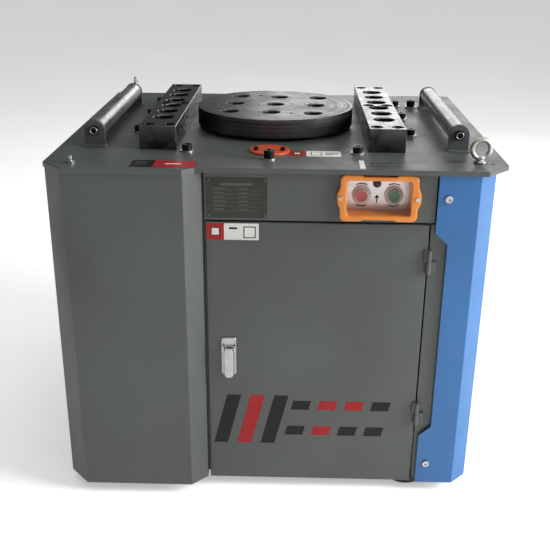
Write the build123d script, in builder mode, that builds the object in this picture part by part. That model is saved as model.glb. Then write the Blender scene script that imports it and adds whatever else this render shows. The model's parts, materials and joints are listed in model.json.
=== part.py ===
from build123d import *
import os
from math import acos, atan2, cos, degrees, hypot, pi, radians, sin, tan

# Rebar bender. Millimetres, +Z up, origin on the floor under the middle of the table.
# The operator stands at -Y. Every place is worked out from the driving sizes below.

# ---- Table ----
table_width = 897.0
table_depth = 800.0
table_height = 726.0            # floor to the table's top face
table_thick = 10.0
table_step = 22.0               # how far the left part of the front edge stands out
bay_width = 273.5               # left edge of the table to that step
corner_x, corner_y = 47.0, 51.0  # cut front corners
axis_x, axis_y = -10.0, 6.0     # the work disc's axis
edge_break = 1.0                # chamfer on machined edges
hole_break = 2.0                # chamfer round the pin holes

# ---- Work disc and main shaft ----
disc_diameter = 350.0
disc_thick = 40.0
disc_gap = 8.0                  # table to disc
disc_turned = -4.7              # degrees, where the disc stopped
peg_diameter = 38.0
peg_pitch = 91.0
ring_diameter = 68.0            # end of the main shaft, flush with the disc
main_bore_depth = 60.0
main_shaft_diameter = 70.0
collar_diameter = 100.0
collar_thick = 5.5
lift_thread_diameter = 8.5
lift_thread_x, lift_thread_y = 45.5, 100.0
shaft_hole_gap = 5.0            # round the shaft, in the table

# ---- Hole bars ----
bar_width, bar_length, bar_height = 75.0, 500.0, 48.0
bar_gap = 19.5                  # disc rim to bar
bar_hole_diameter = 42.0
bar_hole_pitch = 64.5
bar_hole_count = 6
bar_shift, bar_hole_shift = 2.0, 4.0    # bar's middle behind the axis, holes' middle behind the bar's
bar_screw_x, bar_screw_pitch = 21.0, 230.0
counterbore_diameter, counterbore_depth = 26.0, 14.0

# ---- Feed rollers ----
roller_diameter = 39.0
roller_height = 34.0            # axis above the table
roller_length = 433.0
roller_left_inset, roller_right_inset = 74.8, 80.5
bracket_width, bracket_thick = 41.0, 10.0
bracket_weld = 4.0
roller_axle_diameter = 20.0
roller_side_gap = 0.5
roller_shift = -2.5             # rollers' middle behind the axis
end_screw_diameter, end_screw_depth = 10.0, 20.0
end_screw_head, end_screw_height, end_screw_socket = 19.0, 8.0, 9.0

# ---- Fasteners and fittings on the table ----
bolt_diameter = 12.0
bolt_head, bolt_head_height, stop_head_height = 20.0, 12.0, 16.0
washer_diameter, washer_thick = 28.0, 2.5
cover_bolt_gap = 28.5           # hole bar's side to the bolts beside it
cover_bolt_rows = (-88.0, 88.0, 243.0)
front_bolt_x, front_bolt_y = 172.0, -257.0
stop_bolt_out, stop_bolt_back = 163.0, 58.0     # rear right bolt, from the disc's rim
front_stop_x, front_stop_out = -5.0, 137.0      # front bolt, from the disc's rim
port_offset = (-5.5, -248.0)
port_cover_diameter, port_cover_thick, port_hole, port_neck_gap = 82.0, 4.0, 50.0, 0.5
port_screw_x, port_screw_y, port_screw_diameter, port_screw_head = 27.0, -8.0, 6.0, 10.0
eye_major, eye_minor = 18.25, 4.5
eye_height = 28.0               # ring's centre above the table
eye_collar, eye_collar_height, eye_neck = 24.0, 4.0, 14.0
front_eye_inset, rear_eye_inset = (53.5, 64.0), (58.5, 49.0)
eye_turns = (10.0, 100.0)
stud_inset = (56.5, 43.0)
stud_diameter, stud_height, stud_nut, stud_nut_height = 7.0, 14.0, 13.0, 5.0
spare_hole_inset, spare_hole_diameter = (31.5, 54.0), 6.0

# ---- Cabinet ----
sheet = 2.0
skirt_gap = 23.5                # floor to the covers' lower edges
door_setback = 13.5             # front edge of the table to the door's face
door_width, door_drop = 436.0, 111.0
door_left_setback = 311.9       # left edge of the table to the door
door_return = 11.0
fascia_drop = 107.0
door_cover_gap = 10.7           # door's edge to the blue cover
bay_gap = 5.4                   # left cover's return to the door
frame_setback = 12.5            # door's face to the door frame's bars
left_bar_width, left_bar_lap = 40.0, 11.6
right_bar_width, right_bar_strip = 33.0, 10.0
jamb_gap = 3.0                  # door's edge to the jamb beside it
bar_foot = 8.5                  # upright bars' feet above the covers' lower edges
rail_lap = 10.0                 # top rail behind the door and behind the fascia
fascia_gap = 0.4
cover_setback = 8.4             # front edge of the table to the blue cover
cover_inset = 24.5
cover_cut = 34.0
notch_width, notch_slope = 25.0, 23.0
notch_top_drop, notch_bottom_drop = 127.0, 584.0
bay_inset, side_inset = 3.0, 2.0
corner_inset = 1.0              # covers' cut corners inside the table's
rear_inset = 4.0
cover_screw_inset, cover_screw_top, cover_screw_low = 20.5, 57.0, 49.5
cover_screw_diameter, cover_screw_head, cover_screw_height = 8.0, 14.0, 4.0
rear_screw_diameter, rear_screw_head, rear_screw_inset = 6.0, 11.0, 40.0
louvre_rows, louvre_pitch, louvre_width, louvre_height = 7, 26.0, 100.0, 14.0
louvre_proud, louvre_wall, louvre_lip = 3.5, 2.0, 1.5
louvre_rise = 80.0              # deck to the lowest louvre
post, post_wall = 30.0, 3.0
post_gap = 8.5
front_post_gaps = (4.0, 5.6)    # left and right front posts behind the covers' cut corners
deck_thick = 6.0
bar_strip = 12.0
sill_height = 30.0

# ---- Hinges and lock ----
hinge_out, hinge_proud = 2.7, 5.5       # pin's axis outside the door's edge and in front of its face
hinge_height, hinge_diameter, hinge_pin = 50.0, 10.0, 6.0
frame_leaf, door_leaf, leaf_thick, hinge_slack = 15.0, 7.0, 5.0, 0.5
hinge_pin_short, hinge_bore_short = 3.0, 2.0    # below the top of the hinge
hinge_top_drop, hinge_low_rise = 212.0, 147.5
lock_inset, lock_drop = 43.3, 384.0
lock_plate_width, lock_plate_below, lock_plate_above, lock_plate_thick = 30.6, 61.0, 24.0, 3.0
lock_spindle, lock_corner = 14.0, 3.0
lever_width, lever_length, lever_thick, lever_corner = 20.0, 67.0, 6.0, 5.0
lever_stand = 7.5               # lever's face in front of the lock plate
lever_pin, clevis_wall, clevis_height, clevis_gap = 3.0, 3.0, 12.0, 0.5
cam_width, cam_thick, cam_length, cam_gap = 16.0, 3.0, 48.0, 2.0

# ---- Wheels ----
wheel_diameter, wheel_width = 115.0, 36.0
wheel_axle = 12.0
wheel_side_gap = 1.5
fork_leg = 4.0
fork_plate = 5.0
caster_headroom = 25.0          # wheel's top to the deck
caster_trail = 38.0
caster_corner = 2.0             # the wheel's corner reaches this much past its rim as it swivels
caster_gap, caster_front_gap = 10.5, 18.5       # swept circle to the covers
kingpin_diameter = 16.0
fixed_wheel_inset, fixed_wheel_setback = 154.5, 26.0
wheel_round, hub_recess, rim_height, hub_diameter = 5.0, 6.0, 17.0, 30.0
fork_half_length, fork_leg_top = 42.0, 38.0
gland_gap, gland_rear_inset = 22.5, 90.0
gland_diameter, gland_bore, gland_length = 22.0, 11.0, 28.0
gland_nut, gland_nut_height = 28.0, 12.0

# ---- Gear train: main gear, two intermediate shafts, input shaft ----
gear_sets = {"main": (5.0, 72, 16), "second": (4.0, 64, 16), "third": (3.0, 72, 18)}
gear_faces = {"main": 60.0, "second": 40.0, "third": 30.0}
pinion_extra = 4.0
gear_level_trim = (1.0, -2.0, 1.0)      # of the gaps below the main, second and third gears
gear_level_gap = 8.0
tooth_top = 0.95                # addendum, in modules
pressure_angle = 20.0
backlash = 0.5
second_shaft_diameter, third_shaft_diameter, input_shaft_diameter = 40.0, 35.0, 30.0
shaft_angles = {"second": 90.0, "third": 0.0, "input": -60.0}
gearbox_wall, gear_room = 10.0, 8.0
gearbox_plate = 24.0
input_shaft_tail = 2.0          # below its pulley
gearbox_shoulder = -110.0       # where the cover narrows, behind the axis
bearing_width, bearing_wall = 18.0, 20.0
race_outer, race_inner, race_groove = 10.0, -6.0, 2.0   # shield groove, from the shaft and half the wall
oil_gap = 4.0                   # between the input shaft and the housing's floor
cover_bolt_margin = 17.0

# ---- Motor and belts ----
motor_pulley_pitch, driven_pulley_pitch = 75.0, 187.5
pulley_width, groove_spacing = 36.0, 15.0
belt_top, belt_height = 12.4, 8.0
belt_centres = 284.0
groove_half_angle = 19.0
groove_clearance, groove_spare = 1.2, 3.0       # groove wider and deeper than the belt
rim_rise, belt_sunk = 2.75, 0.5
motor_radius, motor_fin, motor_fin_thick, motor_fin_count = 86.0, 10.0, 3.0, 28
motor_length, motor_flange, motor_flange_thick = 213.0, 14.0, 12.0
cowl_length, cowl_wall, cowl_grown = 40.0, 4.0, 3.0
stator_bore, rotor_diameter, rotor_low, rotor_high = 130.0, 120.0, 62.0, 22.0
fan_room, fan_diameter, fan_hub, fan_width = 160.0, 146.0, 50.0, 20.0
fan_blades, fan_blade = 7, 3.0
cowl_holes, cowl_hole = ((25.0, 8), (42.0, 14), (60.0, 20)), 8.0
terminal_box = (18.0, 90.0, 80.0, 160.0)        # proud with its overlap, width, bottom, top
motor_shaft_diameter = 28.0
motor_plate_gap, motor_plate_thick, motor_plate_hole = 15.0, 10.0, 110.0
motor_mount_wall = 8.0
pulley_drop = 20.0

# ---- Controls ----
shroud_width, shroud_height = 149.0, 92.0
shroud_opening_x, shroud_opening_z = 123.0, 69.0
shroud_proud, shroud_wall, shroud_depth = 10.0, 4.0, 30.5
shroud_corner, opening_corner, shroud_chamfer = 5.0, 6.0, 1.2
shroud_ear, shroud_dip = 7.0, 6.0
shroud_door_inset = 101.9       # shroud's middle inside the door's right edge
shroud_drop = 57.5
shroud_screw_diameter, shroud_screw_head, shroud_screw_height, shroud_screw_inset = 4.0, 8.0, 2.5, 1.0
button_x, button_shift, button_drop = 31.3, 0.6, 61.0
button_diameter, bezel_diameter = 25.0, 37.0
button_stem, button_cap, button_round = 10.0, 7.0, 1.2
button_travel, button_spare = 4.0, 0.5
bezel_height, bezel_floor, panel_hole, bezel_nut = 6.0, 1.5, 22.0, 28.0
bezel_tail, bezel_nut_thick, stem_tail = 20.0, 4.0, 11.0
lamp_shift, lamp_drop = -1.5, 38.0
lamp_diameter, lamp_hole, lamp_height, lamp_round, lamp_tail = 16.0, 12.0, 5.0, 2.0, 12.0
control_box_depth = 50.0

# ---- Electrical plate ----
plate_gap, plate_thick, plate_height = 15.0, 3.0, 420.0
contactor_count, contactor_pitch, contactor_inset = 3, 66.0, 50.0
contactor_size = (50.0, 62.0, 75.0)
contactor_rise, contactor_face, contactor_face_proud = 300.0, 6.0, 8.0
terminal_count, terminal_pitch, terminal_diameter, terminal_proud = 12, 14.0, 7.0, 3.0
terminal_block_inset, terminal_block_rise = 45.0, 190.0
terminal_block_height, terminal_block_depth = 35.0, 30.0

# ---- Clearances ----
running = 0.05                  # radial, shaft in bore
slip = 0.3                      # parts that pass each other

# ---- Planes and places worked out from the above ----
left_x, right_x = -table_width / 2, table_width / 2
rear_y, bay_front_y = table_depth / 2, -table_depth / 2
front_y = bay_front_y + table_step
step_x = left_x + bay_width
under_z = table_height - table_thick
disc_z = table_height + disc_gap
disc_top = disc_z + disc_thick
bar_x = disc_diameter / 2 + bar_gap + bar_width / 2
bar_z = table_height
roller_z = table_height + roller_height
roller_xs = (left_x + roller_left_inset, right_x - roller_right_inset)
bay_face_y = bay_front_y + bay_inset
left_face_x = left_x + side_inset
door_face_y = front_y + door_setback
door_left = left_x + door_left_setback
door_right = door_left + door_width
door_top = table_height - door_drop
fascia_z = table_height - fascia_drop
cover_face_y = front_y + cover_setback
cover_left = door_right + door_cover_gap
cover_right = right_x - cover_inset
cover_back = rear_y - rear_inset - sheet
frame_y = door_face_y + frame_setback   # front of the door frame's bars
frame_back = frame_y + bar_strip
right_bar_y = frame_y - right_bar_strip
right_bar = (cover_left + sheet, cover_left + sheet + right_bar_width)
left_bar = (door_left + left_bar_lap - left_bar_width, door_left + left_bar_lap)
deck_z = wheel_diameter + caster_headroom
deck_top = deck_z + deck_thick
hinge_x, hinge_y = door_right + hinge_out, door_face_y - hinge_proud
hinge_zs = (table_height - hinge_top_drop, skirt_gap + hinge_low_rise)
lock_x, lock_z = door_left + lock_inset, table_height - lock_drop
shroud_x = door_right - shroud_door_inset
shroud_z = table_height - shroud_drop
panel_y = door_face_y + shroud_depth
right_wheel_x = right_x - fixed_wheel_inset
front_wheel_y = frame_y + fixed_wheel_setback
rear_wheel_y = rear_y - (front_wheel_y - bay_front_y)
swivel_radius = caster_trail + wheel_diameter / 2 + caster_corner
left_wheel_x = left_face_x + sheet + swivel_radius + caster_gap
caster_axes = {
    "front": (left_wheel_x, bay_face_y + sheet + swivel_radius + caster_front_gap),
    "rear": (left_wheel_x, cover_back - swivel_radius - caster_gap),
}
port_x, port_y = axis_x + port_offset[0], axis_y + port_offset[1]

os.makedirs("parts", exist_ok=True)


def save(piece, name):
    piece.part.label = name
    export_step(piece.part, f"parts/{name}.step")


def block(x0, x1, y0, y1, z0, z1, mode=Mode.ADD):
    """A block between two corners, in the part being built."""
    with Locations((x0, y0, z0)):
        Box(x1 - x0, y1 - y0, z1 - z0, align=(Align.MIN, Align.MIN, Align.MIN), mode=mode)


def rod_z(x, y, z0, z1, diameter, mode=Mode.ADD):
    """An upright round bar."""
    with Locations((x, y, z0)):
        Cylinder(diameter / 2, z1 - z0, align=(Align.CENTER, Align.CENTER, Align.MIN), mode=mode)


def rod_y(x, z, y0, y1, diameter, mode=Mode.ADD):
    """A round bar along Y."""
    with Locations(Location((x, y0, z), (-90, 0, 0))):
        Cylinder(diameter / 2, y1 - y0, align=(Align.CENTER, Align.CENTER, Align.MIN), mode=mode)


def rod_x(y, z, x0, x1, diameter, mode=Mode.ADD):
    """A round bar along X."""
    with Locations(Location((x0, y, z), (0, 90, 0))):
        Cylinder(diameter / 2, x1 - x0, align=(Align.CENTER, Align.CENTER, Align.MIN), mode=mode)


def slab(points, z0, z1, mode=Mode.ADD):
    """A flat plate with a polygon outline."""
    with BuildSketch(Plane.XY.offset(z0)) as outline:
        with BuildLine():
            Polyline(*points, close=True)
        make_face()
    extrude(outline.sketch, amount=z1 - z0, mode=mode)


def hex_recess(plane, across, depth):
    """A hexagon socket sunk below a plane that faces out of the head."""
    with BuildSketch(plane) as recess:
        RegularPolygon(across / 2, 6, major_radius=False)
    extrude(recess.sketch, amount=-depth, mode=Mode.SUBTRACT)


def screw_down(x, y, z, head, head_height, shank, length):
    """A socket screw whose head stands on height z, with its shank below."""
    rod_z(x, y, z, z + head_height, head)
    rod_z(x, y, z - length, z, shank)
    hex_recess(Plane((x, y, z + head_height)), head / 2, head_height / 2)


def inner_line(points, side):
    """The folds of a line one sheet inside the points; side is 1 for the left of it."""
    ends = [Vector(*p) for p in points]
    normals = []
    for a, b in zip(ends, ends[1:]):
        along = (b - a).normalized()
        normals.append(Vector(-along.Y, along.X) * side)
    folds = [ends[0] + normals[0] * sheet]
    for p, n, m in zip(ends[1:-1], normals, normals[1:]):
        folds.append(p + (n + m) * (sheet / (1 + n.dot(m))))
    folds.append(ends[-1] + normals[-1] * sheet)
    return [(p.X, p.Y) for p in folds]


def bent_sheet(points, side, z0, z1):
    """A folded sheet whose outer face follows the points, in plan."""
    slab(points + inner_line(points, side)[::-1], z0, z1)


def polar(x, y, radius, angle):
    return x + radius * cos(radians(angle)), y + radius * sin(radians(angle))


# ---- Gear geometry ----
def gear_radii(module, teeth):
    pitch = module * teeth / 2
    return {"root": pitch - 1.25 * module, "pitch": pitch, "tip": pitch + tooth_top * module}


def tooth_half_angle(radius, module, teeth):
    """Half of a tooth's width, in radians, at a radius on its involute."""
    pitch = module * teeth / 2
    base = pitch * cos(radians(pressure_angle))

    def involute(r):
        angle = acos(min(1.0, base / r))
        return tan(angle) - angle
    at_pitch = pi / 2 / teeth - backlash / 4 / pitch
    return at_pitch + involute(pitch) - involute(max(radius, base))


def gear(x, y, z0, z1, module, teeth, phase, bore=0.0):
    """A spur gear with one tooth centred on the angle phase, in degrees."""
    radii = gear_radii(module, teeth)
    steps = [radii["root"], radii["pitch"] - 0.5 * module, radii["pitch"], radii["tip"]]
    points = []
    for tooth in range(teeth):
        middle = phase + 360 * tooth / teeth
        halves = [(r, degrees(tooth_half_angle(r, module, teeth))) for r in steps]
        points += [polar(x, y, r, middle - half) for r, half in halves]
        points += [polar(x, y, r, middle + half) for r, half in reversed(halves)]
    slab(points, z0, z1)
    if bore:
        rod_z(x, y, z0, z1, bore, mode=Mode.SUBTRACT)


def centre_distance(name):
    module, wheel_teeth, pinion_teeth = gear_sets[name]
    return module * (wheel_teeth + pinion_teeth) / 2


def pinion_phase(name, direction):
    """A gap faces the gear, whose own tooth points along direction."""
    return direction + 180 + 180 / gear_sets[name][2]


main_axis = (axis_x, axis_y)
second_axis = polar(*main_axis, centre_distance("main"), shaft_angles["second"])
third_axis = polar(*second_axis, centre_distance("second"), shaft_angles["third"])
input_axis = polar(*third_axis, centre_distance("third"), shaft_angles["input"])
motor_axis = (input_axis[0], input_axis[1] - belt_centres)
box_top = under_z - gearbox_plate
main_gear_z = (box_top - gear_level_gap - gear_faces["main"], box_top - gear_level_gap)
second_gear_top = main_gear_z[0] - gear_level_gap + gear_level_trim[0]
second_gear_z = (second_gear_top - gear_faces["second"], second_gear_top)
third_gear_top = second_gear_z[0] - gear_level_gap + gear_level_trim[1]
third_gear_z = (third_gear_top - gear_faces["third"], third_gear_top)
box_floor = third_gear_z[0] - gear_level_gap + gear_level_trim[2]
box_bottom = box_floor - gearbox_plate
top_bearing_z = (box_top, box_top + bearing_width)
low_bearing_z = (box_floor - bearing_width, box_floor)
shaft_ends = (box_floor - bearing_width + running, box_top + bearing_width - running)
pulley_z = (box_bottom - pulley_drop - pulley_width, box_bottom - pulley_drop)
motor_plate_top = pulley_z[0] - motor_plate_gap
motor_plate_z = (motor_plate_top - motor_plate_thick, motor_plate_top)
shafts = {
    "main": (main_axis, main_shaft_diameter),
    "second": (second_axis, second_shaft_diameter),
    "third": (third_axis, third_shaft_diameter),
    "input": (input_axis, input_shaft_diameter),
}

# ---- Places of the table's fasteners ----
cover_bolt_x = bar_x + bar_width / 2 + cover_bolt_gap
cover_bolts = [(axis_x + side * cover_bolt_x, axis_y + y) for side in (-1, 1) for y in cover_bolt_rows]
cover_bolts += [(axis_x + side * front_bolt_x, axis_y + front_bolt_y) for side in (-1, 1)]
rim = disc_diameter / 2
stop_bolts = [
    (axis_x + rim + stop_bolt_out, axis_y + rim + stop_bolt_back),
    (axis_x + front_stop_x, axis_y - rim - front_stop_out),
]
bar_centres = [(axis_x + side * bar_x, axis_y + bar_shift) for side in (-1, 1)]
bar_screws = [
    (x + side * bar_screw_x, y + row * bar_screw_pitch)
    for x, y in bar_centres for side in (-1, 1) for row in (-1, 0, 1)
]
port_screws = [(port_x + side * port_screw_x, port_y + port_screw_y) for side in (-1, 1)]
front_eye = (right_x - front_eye_inset[0], front_y + front_eye_inset[1])
rear_eye = (left_x + rear_eye_inset[0], rear_y - rear_eye_inset[1])
stud_x, stud_y = left_x + stud_inset[0], bay_front_y + stud_inset[1]
spare_hole = (right_x - spare_hole_inset[0], front_y + spare_hole_inset[1])
axle_half = roller_length / 2 + roller_side_gap
bracket_outer = axle_half + bracket_thick
roller_y = axis_y + roller_shift

# ======== Table top ========
with BuildPart() as table_top:
    slab([
        (left_x, bay_front_y + corner_y), (left_x + corner_x, bay_front_y),
        (step_x, bay_front_y), (step_x + table_step, front_y),
        (right_x - corner_x, front_y), (right_x, front_y + corner_y),
        (right_x, rear_y), (left_x, rear_y),
    ], under_z, table_height)
    chamfer(table_top.edges().group_by(Axis.Z)[-1], edge_break)
    rod_z(*main_axis, under_z, table_height, main_shaft_diameter + 2 * shaft_hole_gap, mode=Mode.SUBTRACT)
    rod_z(port_x, port_y, under_z, table_height, port_hole, mode=Mode.SUBTRACT)
    for x, y in bar_screws + cover_bolts + stop_bolts + [front_eye, rear_eye]:
        rod_z(x, y, under_z, table_height, bolt_diameter, mode=Mode.SUBTRACT)
    rod_z(stud_x, stud_y, under_z, table_height, stud_diameter, mode=Mode.SUBTRACT)
    rod_z(*spare_hole, under_z, table_height, spare_hole_diameter, mode=Mode.SUBTRACT)
    for x, y in port_screws:
        rod_z(x, y, under_z, table_height, port_screw_diameter, mode=Mode.SUBTRACT)
save(table_top, "table_top")

# ======== Work disc and main shaft ========
with BuildPart() as work_disc:
    rod_z(*main_axis, disc_z, disc_top, disc_diameter)
    chamfer(work_disc.edges().filter_by(GeomType.CIRCLE), edge_break)
    rod_z(*main_axis, disc_z, disc_top, ring_diameter, mode=Mode.SUBTRACT)
    with Locations(Location((*main_axis, disc_top), (0, 0, disc_turned))):
        with GridLocations(peg_pitch, peg_pitch, 3, 3) as grid:
            pegs = [p.position for p in grid.locations]
    pegs = [p for p in pegs if hypot(p.X - axis_x, p.Y - axis_y) > peg_pitch / 2]
    for p in pegs:
        with Locations(Location((p.X, p.Y, disc_top))):
            CounterSinkHole(peg_diameter / 2, peg_diameter / 2 + hole_break, depth=disc_thick,
                            counter_sink_angle=90)
    with Locations(Location((*main_axis, disc_top), (0, 0, disc_turned))):
        with Locations((lift_thread_x, -lift_thread_y), (-lift_thread_x, lift_thread_y)):
            Hole(lift_thread_diameter / 2, depth=disc_thick)
save(work_disc, "work_disc")

with BuildPart() as main_shaft:
    rod_z(*main_axis, shaft_ends[0], disc_z - collar_thick, main_shaft_diameter)
    rod_z(*main_axis, disc_z - collar_thick, disc_z, collar_diameter)
    rod_z(*main_axis, disc_z, disc_top, ring_diameter)
    rod_z(*main_axis, disc_top - main_bore_depth, disc_top, peg_diameter, mode=Mode.SUBTRACT)
    mouth = main_shaft.edges().filter_by(GeomType.CIRCLE).group_by(Axis.Z)[-1].sort_by(SortBy.LENGTH)[0]
    chamfer(mouth, hole_break)
save(main_shaft, "main_shaft")

# ======== Hole bars ========
for name, (x, y) in zip(("left_hole_bar", "right_hole_bar"), bar_centres):
    with BuildPart() as hole_bar:
        block(x - bar_width / 2, x + bar_width / 2, y - bar_length / 2, y + bar_length / 2,
              bar_z, bar_z + bar_height)
        chamfer(hole_bar.edges(), edge_break)
        for i in range(bar_hole_count):
            hole_y = y + bar_hole_shift + (i - (bar_hole_count - 1) / 2) * bar_hole_pitch
            with Locations((x, hole_y, bar_z + bar_height)):
                CounterSinkHole(bar_hole_diameter / 2, bar_hole_diameter / 2 + hole_break, depth=bar_height,
                                counter_sink_angle=90)
        for sx, sy in bar_screws:
            if abs(sx - x) < bar_width / 2:
                with Locations((sx, sy, bar_z + bar_height)):
                    CounterBoreHole(bolt_diameter / 2, counterbore_diameter / 2, counterbore_depth,
                                    depth=bar_height)
    save(hole_bar, name)

# ======== Feed rollers ========
for name, x in zip(("left_roller", "right_roller"), roller_xs):
    with BuildPart() as roller:
        rod_y(x, roller_z, roller_y - roller_length / 2, roller_y + roller_length / 2, roller_diameter)
        chamfer(roller.edges().filter_by(GeomType.CIRCLE), edge_break)
        rod_y(x, roller_z, roller_y - roller_length / 2, roller_y + roller_length / 2,
              roller_axle_diameter + 2 * running, mode=Mode.SUBTRACT)
    save(roller, name)

with BuildPart() as roller_axles:
    for x in roller_xs:
        rod_y(x, roller_z, roller_y - axle_half, roller_y + axle_half, roller_axle_diameter)
        for side in (-1, 1):
            ends = sorted((roller_y + side * axle_half, roller_y + side * (axle_half - end_screw_depth)))
            rod_y(x, roller_z, *ends, end_screw_diameter, mode=Mode.SUBTRACT)
save(roller_axles, "roller_axles")

with BuildPart() as roller_brackets:
    for x in roller_xs:
        for side in (-1, 1):
            y0, y1 = sorted((roller_y + side * axle_half, roller_y + side * bracket_outer))
            half = bracket_width / 2
            block(x - half, x + half, y0, y1, table_height, roller_z)
            rod_y(x, roller_z, y0, y1, bracket_width)
            with BuildSketch(Plane((x, (y0 + y1) / 2, table_height))) as weld:
                Rectangle(bracket_width + 2 * bracket_weld, bracket_thick + 2 * bracket_weld)
            with BuildSketch(Plane((x, (y0 + y1) / 2, table_height + bracket_weld))) as weld_top:
                Rectangle(bracket_width, bracket_thick)
            loft([weld.sketch.face(), weld_top.sketch.face()])
            rod_y(x, roller_z, y0, y1, end_screw_diameter, mode=Mode.SUBTRACT)
save(roller_brackets, "roller_brackets")

# ======== Lifting eyes, earth stud, filler port ========
eye_names = ("front_lifting_eye", "rear_lifting_eye")
for name, (x, y), turn in zip(eye_names, (front_eye, rear_eye), eye_turns):
    with BuildPart() as eye:
        with Locations(Location((x, y, table_height + eye_height), (90, 0, turn))):
            Torus(eye_major, eye_minor)
        rod_z(x, y, table_height, table_height + eye_collar_height, eye_collar)
        rod_z(x, y, table_height, table_height + 2 * eye_collar_height, eye_neck)
        rod_z(x, y, under_z, table_height, bolt_diameter)
    save(eye, name)

with BuildPart() as earth_stud:
    rod_z(stud_x, stud_y, under_z, table_height + stud_height, stud_diameter)
    with BuildSketch(Plane((stud_x, stud_y, table_height))) as nut:
        RegularPolygon(stud_nut / 2, 6, major_radius=False)
    extrude(nut.sketch, amount=stud_nut_height)
save(earth_stud, "earth_stud")

with BuildPart() as filler_port_cover:
    rod_z(port_x, port_y, table_height, table_height + port_cover_thick, port_cover_diameter)
    chamfer(filler_port_cover.edges().group_by(Axis.Z)[-1], edge_break)
    rod_z(port_x, port_y, under_z, table_height, port_hole - port_neck_gap)
    for x, y in port_screws:
        rod_z(x, y, under_z, table_height + port_cover_thick, port_screw_diameter, mode=Mode.SUBTRACT)
save(filler_port_cover, "filler_port_cover")

# ======== Screws and washers ========
with BuildPart() as socket_screws:
    for x, y in cover_bolts:
        screw_down(x, y, table_height + washer_thick, bolt_head, bolt_head_height, bolt_diameter,
                   washer_thick + table_thick + gearbox_plate)
    for x, y in stop_bolts:
        screw_down(x, y, table_height + washer_thick, bolt_head, stop_head_height, bolt_diameter,
                   washer_thick + table_thick)
    for x, y in bar_screws:
        screw_down(x, y, bar_z + bar_height - counterbore_depth, bolt_head, bolt_head_height, bolt_diameter,
                   bar_height - counterbore_depth + table_thick)
    for x, y in port_screws:
        screw_down(x, y, table_height + port_cover_thick, port_screw_head, port_screw_diameter,
                   port_screw_diameter, port_cover_thick + table_thick)
    for x in roller_xs:
        for side in (-1, 1):
            face, end = roller_y + side * bracket_outer, roller_y + side * (axle_half - end_screw_depth)
            tip = face + side * end_screw_height
            rod_y(x, roller_z, *sorted((face, tip)), end_screw_head)
            rod_y(x, roller_z, *sorted((face, end)), end_screw_diameter)
            outward = Plane((x, tip, roller_z), x_dir=(1, 0, 0), z_dir=(0, side, 0))
            hex_recess(outward, end_screw_socket, end_screw_height / 2)
save(socket_screws, "socket_screws")

with BuildPart() as bolt_washers:
    for x, y in cover_bolts + stop_bolts:
        rod_z(x, y, table_height, table_height + washer_thick, washer_diameter)
        rod_z(x, y, table_height, table_height + washer_thick, bolt_diameter, mode=Mode.SUBTRACT)
save(bolt_washers, "bolt_washers")

# ======== Cabinet ========
bay_end = door_left - bay_gap
bay_points = [
    (bay_end, frame_y), (bay_end, door_face_y), (bay_end - (door_face_y - bay_face_y), bay_face_y),
    (left_x + corner_x - corner_inset, bay_face_y), (left_face_x, bay_front_y + corner_y + corner_inset),
    (left_face_x, cover_back),
]
right_points = [
    (cover_left, cover_face_y), (cover_right - cover_cut, cover_face_y),
    (cover_right, cover_face_y + cover_cut), (cover_right, cover_back),
]
cover_screw_places = [
    (cover_left + cover_screw_inset, z) for z in (table_height - cover_screw_top, skirt_gap + cover_screw_low)
]
with BuildPart() as left_cover:
    bent_sheet(bay_points, -1, skirt_gap, under_z)
save(left_cover, "left_cover")

with BuildPart() as right_cover:
    bent_sheet(right_points, 1, skirt_gap, under_z)
    top, bottom = table_height - notch_top_drop, table_height - notch_bottom_drop
    with BuildSketch(Plane((0, cover_face_y, 0), x_dir=(1, 0, 0), z_dir=(0, -1, 0))) as notch:
        with BuildLine():
            Polyline(
                (cover_left - 1, top), (cover_left, top), (cover_left + notch_width, top - notch_slope),
                (cover_left + notch_width, bottom + notch_slope), (cover_left, bottom),
                (cover_left - 1, bottom), close=True)
        make_face()
    extrude(notch.sketch, amount=sheet + 1, both=True, mode=Mode.SUBTRACT)
    for x, z in cover_screw_places:
        rod_y(x, z, cover_face_y, cover_face_y + sheet, cover_screw_diameter, mode=Mode.SUBTRACT)
save(right_cover, "right_cover")

rear_screw_rows = (deck_top + rear_screw_inset, (deck_top + under_z) / 2, under_z - rear_screw_inset)
rear_screws = [
    (x, z) for x in (left_face_x + rear_screw_inset, cover_right - rear_screw_inset) for z in rear_screw_rows
]


def wedge_x(x, width, points, mode=Mode.ADD):
    """A bar along X from a triangle or quadrangle of (y, z) points, centred on x."""
    with BuildSketch(Plane((x - width / 2, 0, 0), x_dir=(0, 1, 0), z_dir=(1, 0, 0))) as section:
        with BuildLine():
            Polyline(*points, close=True)
        make_face()
    extrude(section.sketch, amount=width, mode=mode)


with BuildPart() as rear_panel:
    block(left_face_x, cover_right, cover_back, cover_back + sheet, skirt_gap, under_z)
    for x in (left_x + table_width / 4, right_x - table_width / 4):
        for row in range(louvre_rows):
            z, back = deck_top + louvre_rise + row * louvre_pitch, cover_back + sheet
            wedge_x(x, louvre_width, [
                (cover_back, z), (back + louvre_proud, z), (back, z + louvre_height),
                (cover_back, z + louvre_height),
            ])
            wedge_x(x, louvre_width - 2 * louvre_wall, [
                (cover_back, z), (back + louvre_proud - louvre_lip, z),
                (cover_back, z + louvre_height - 2 * louvre_wall),
            ], mode=Mode.SUBTRACT)
    for x, z in rear_screws:
        rod_y(x, z, cover_back, cover_back + sheet, rear_screw_diameter, mode=Mode.SUBTRACT)
save(rear_panel, "rear_panel")

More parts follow.
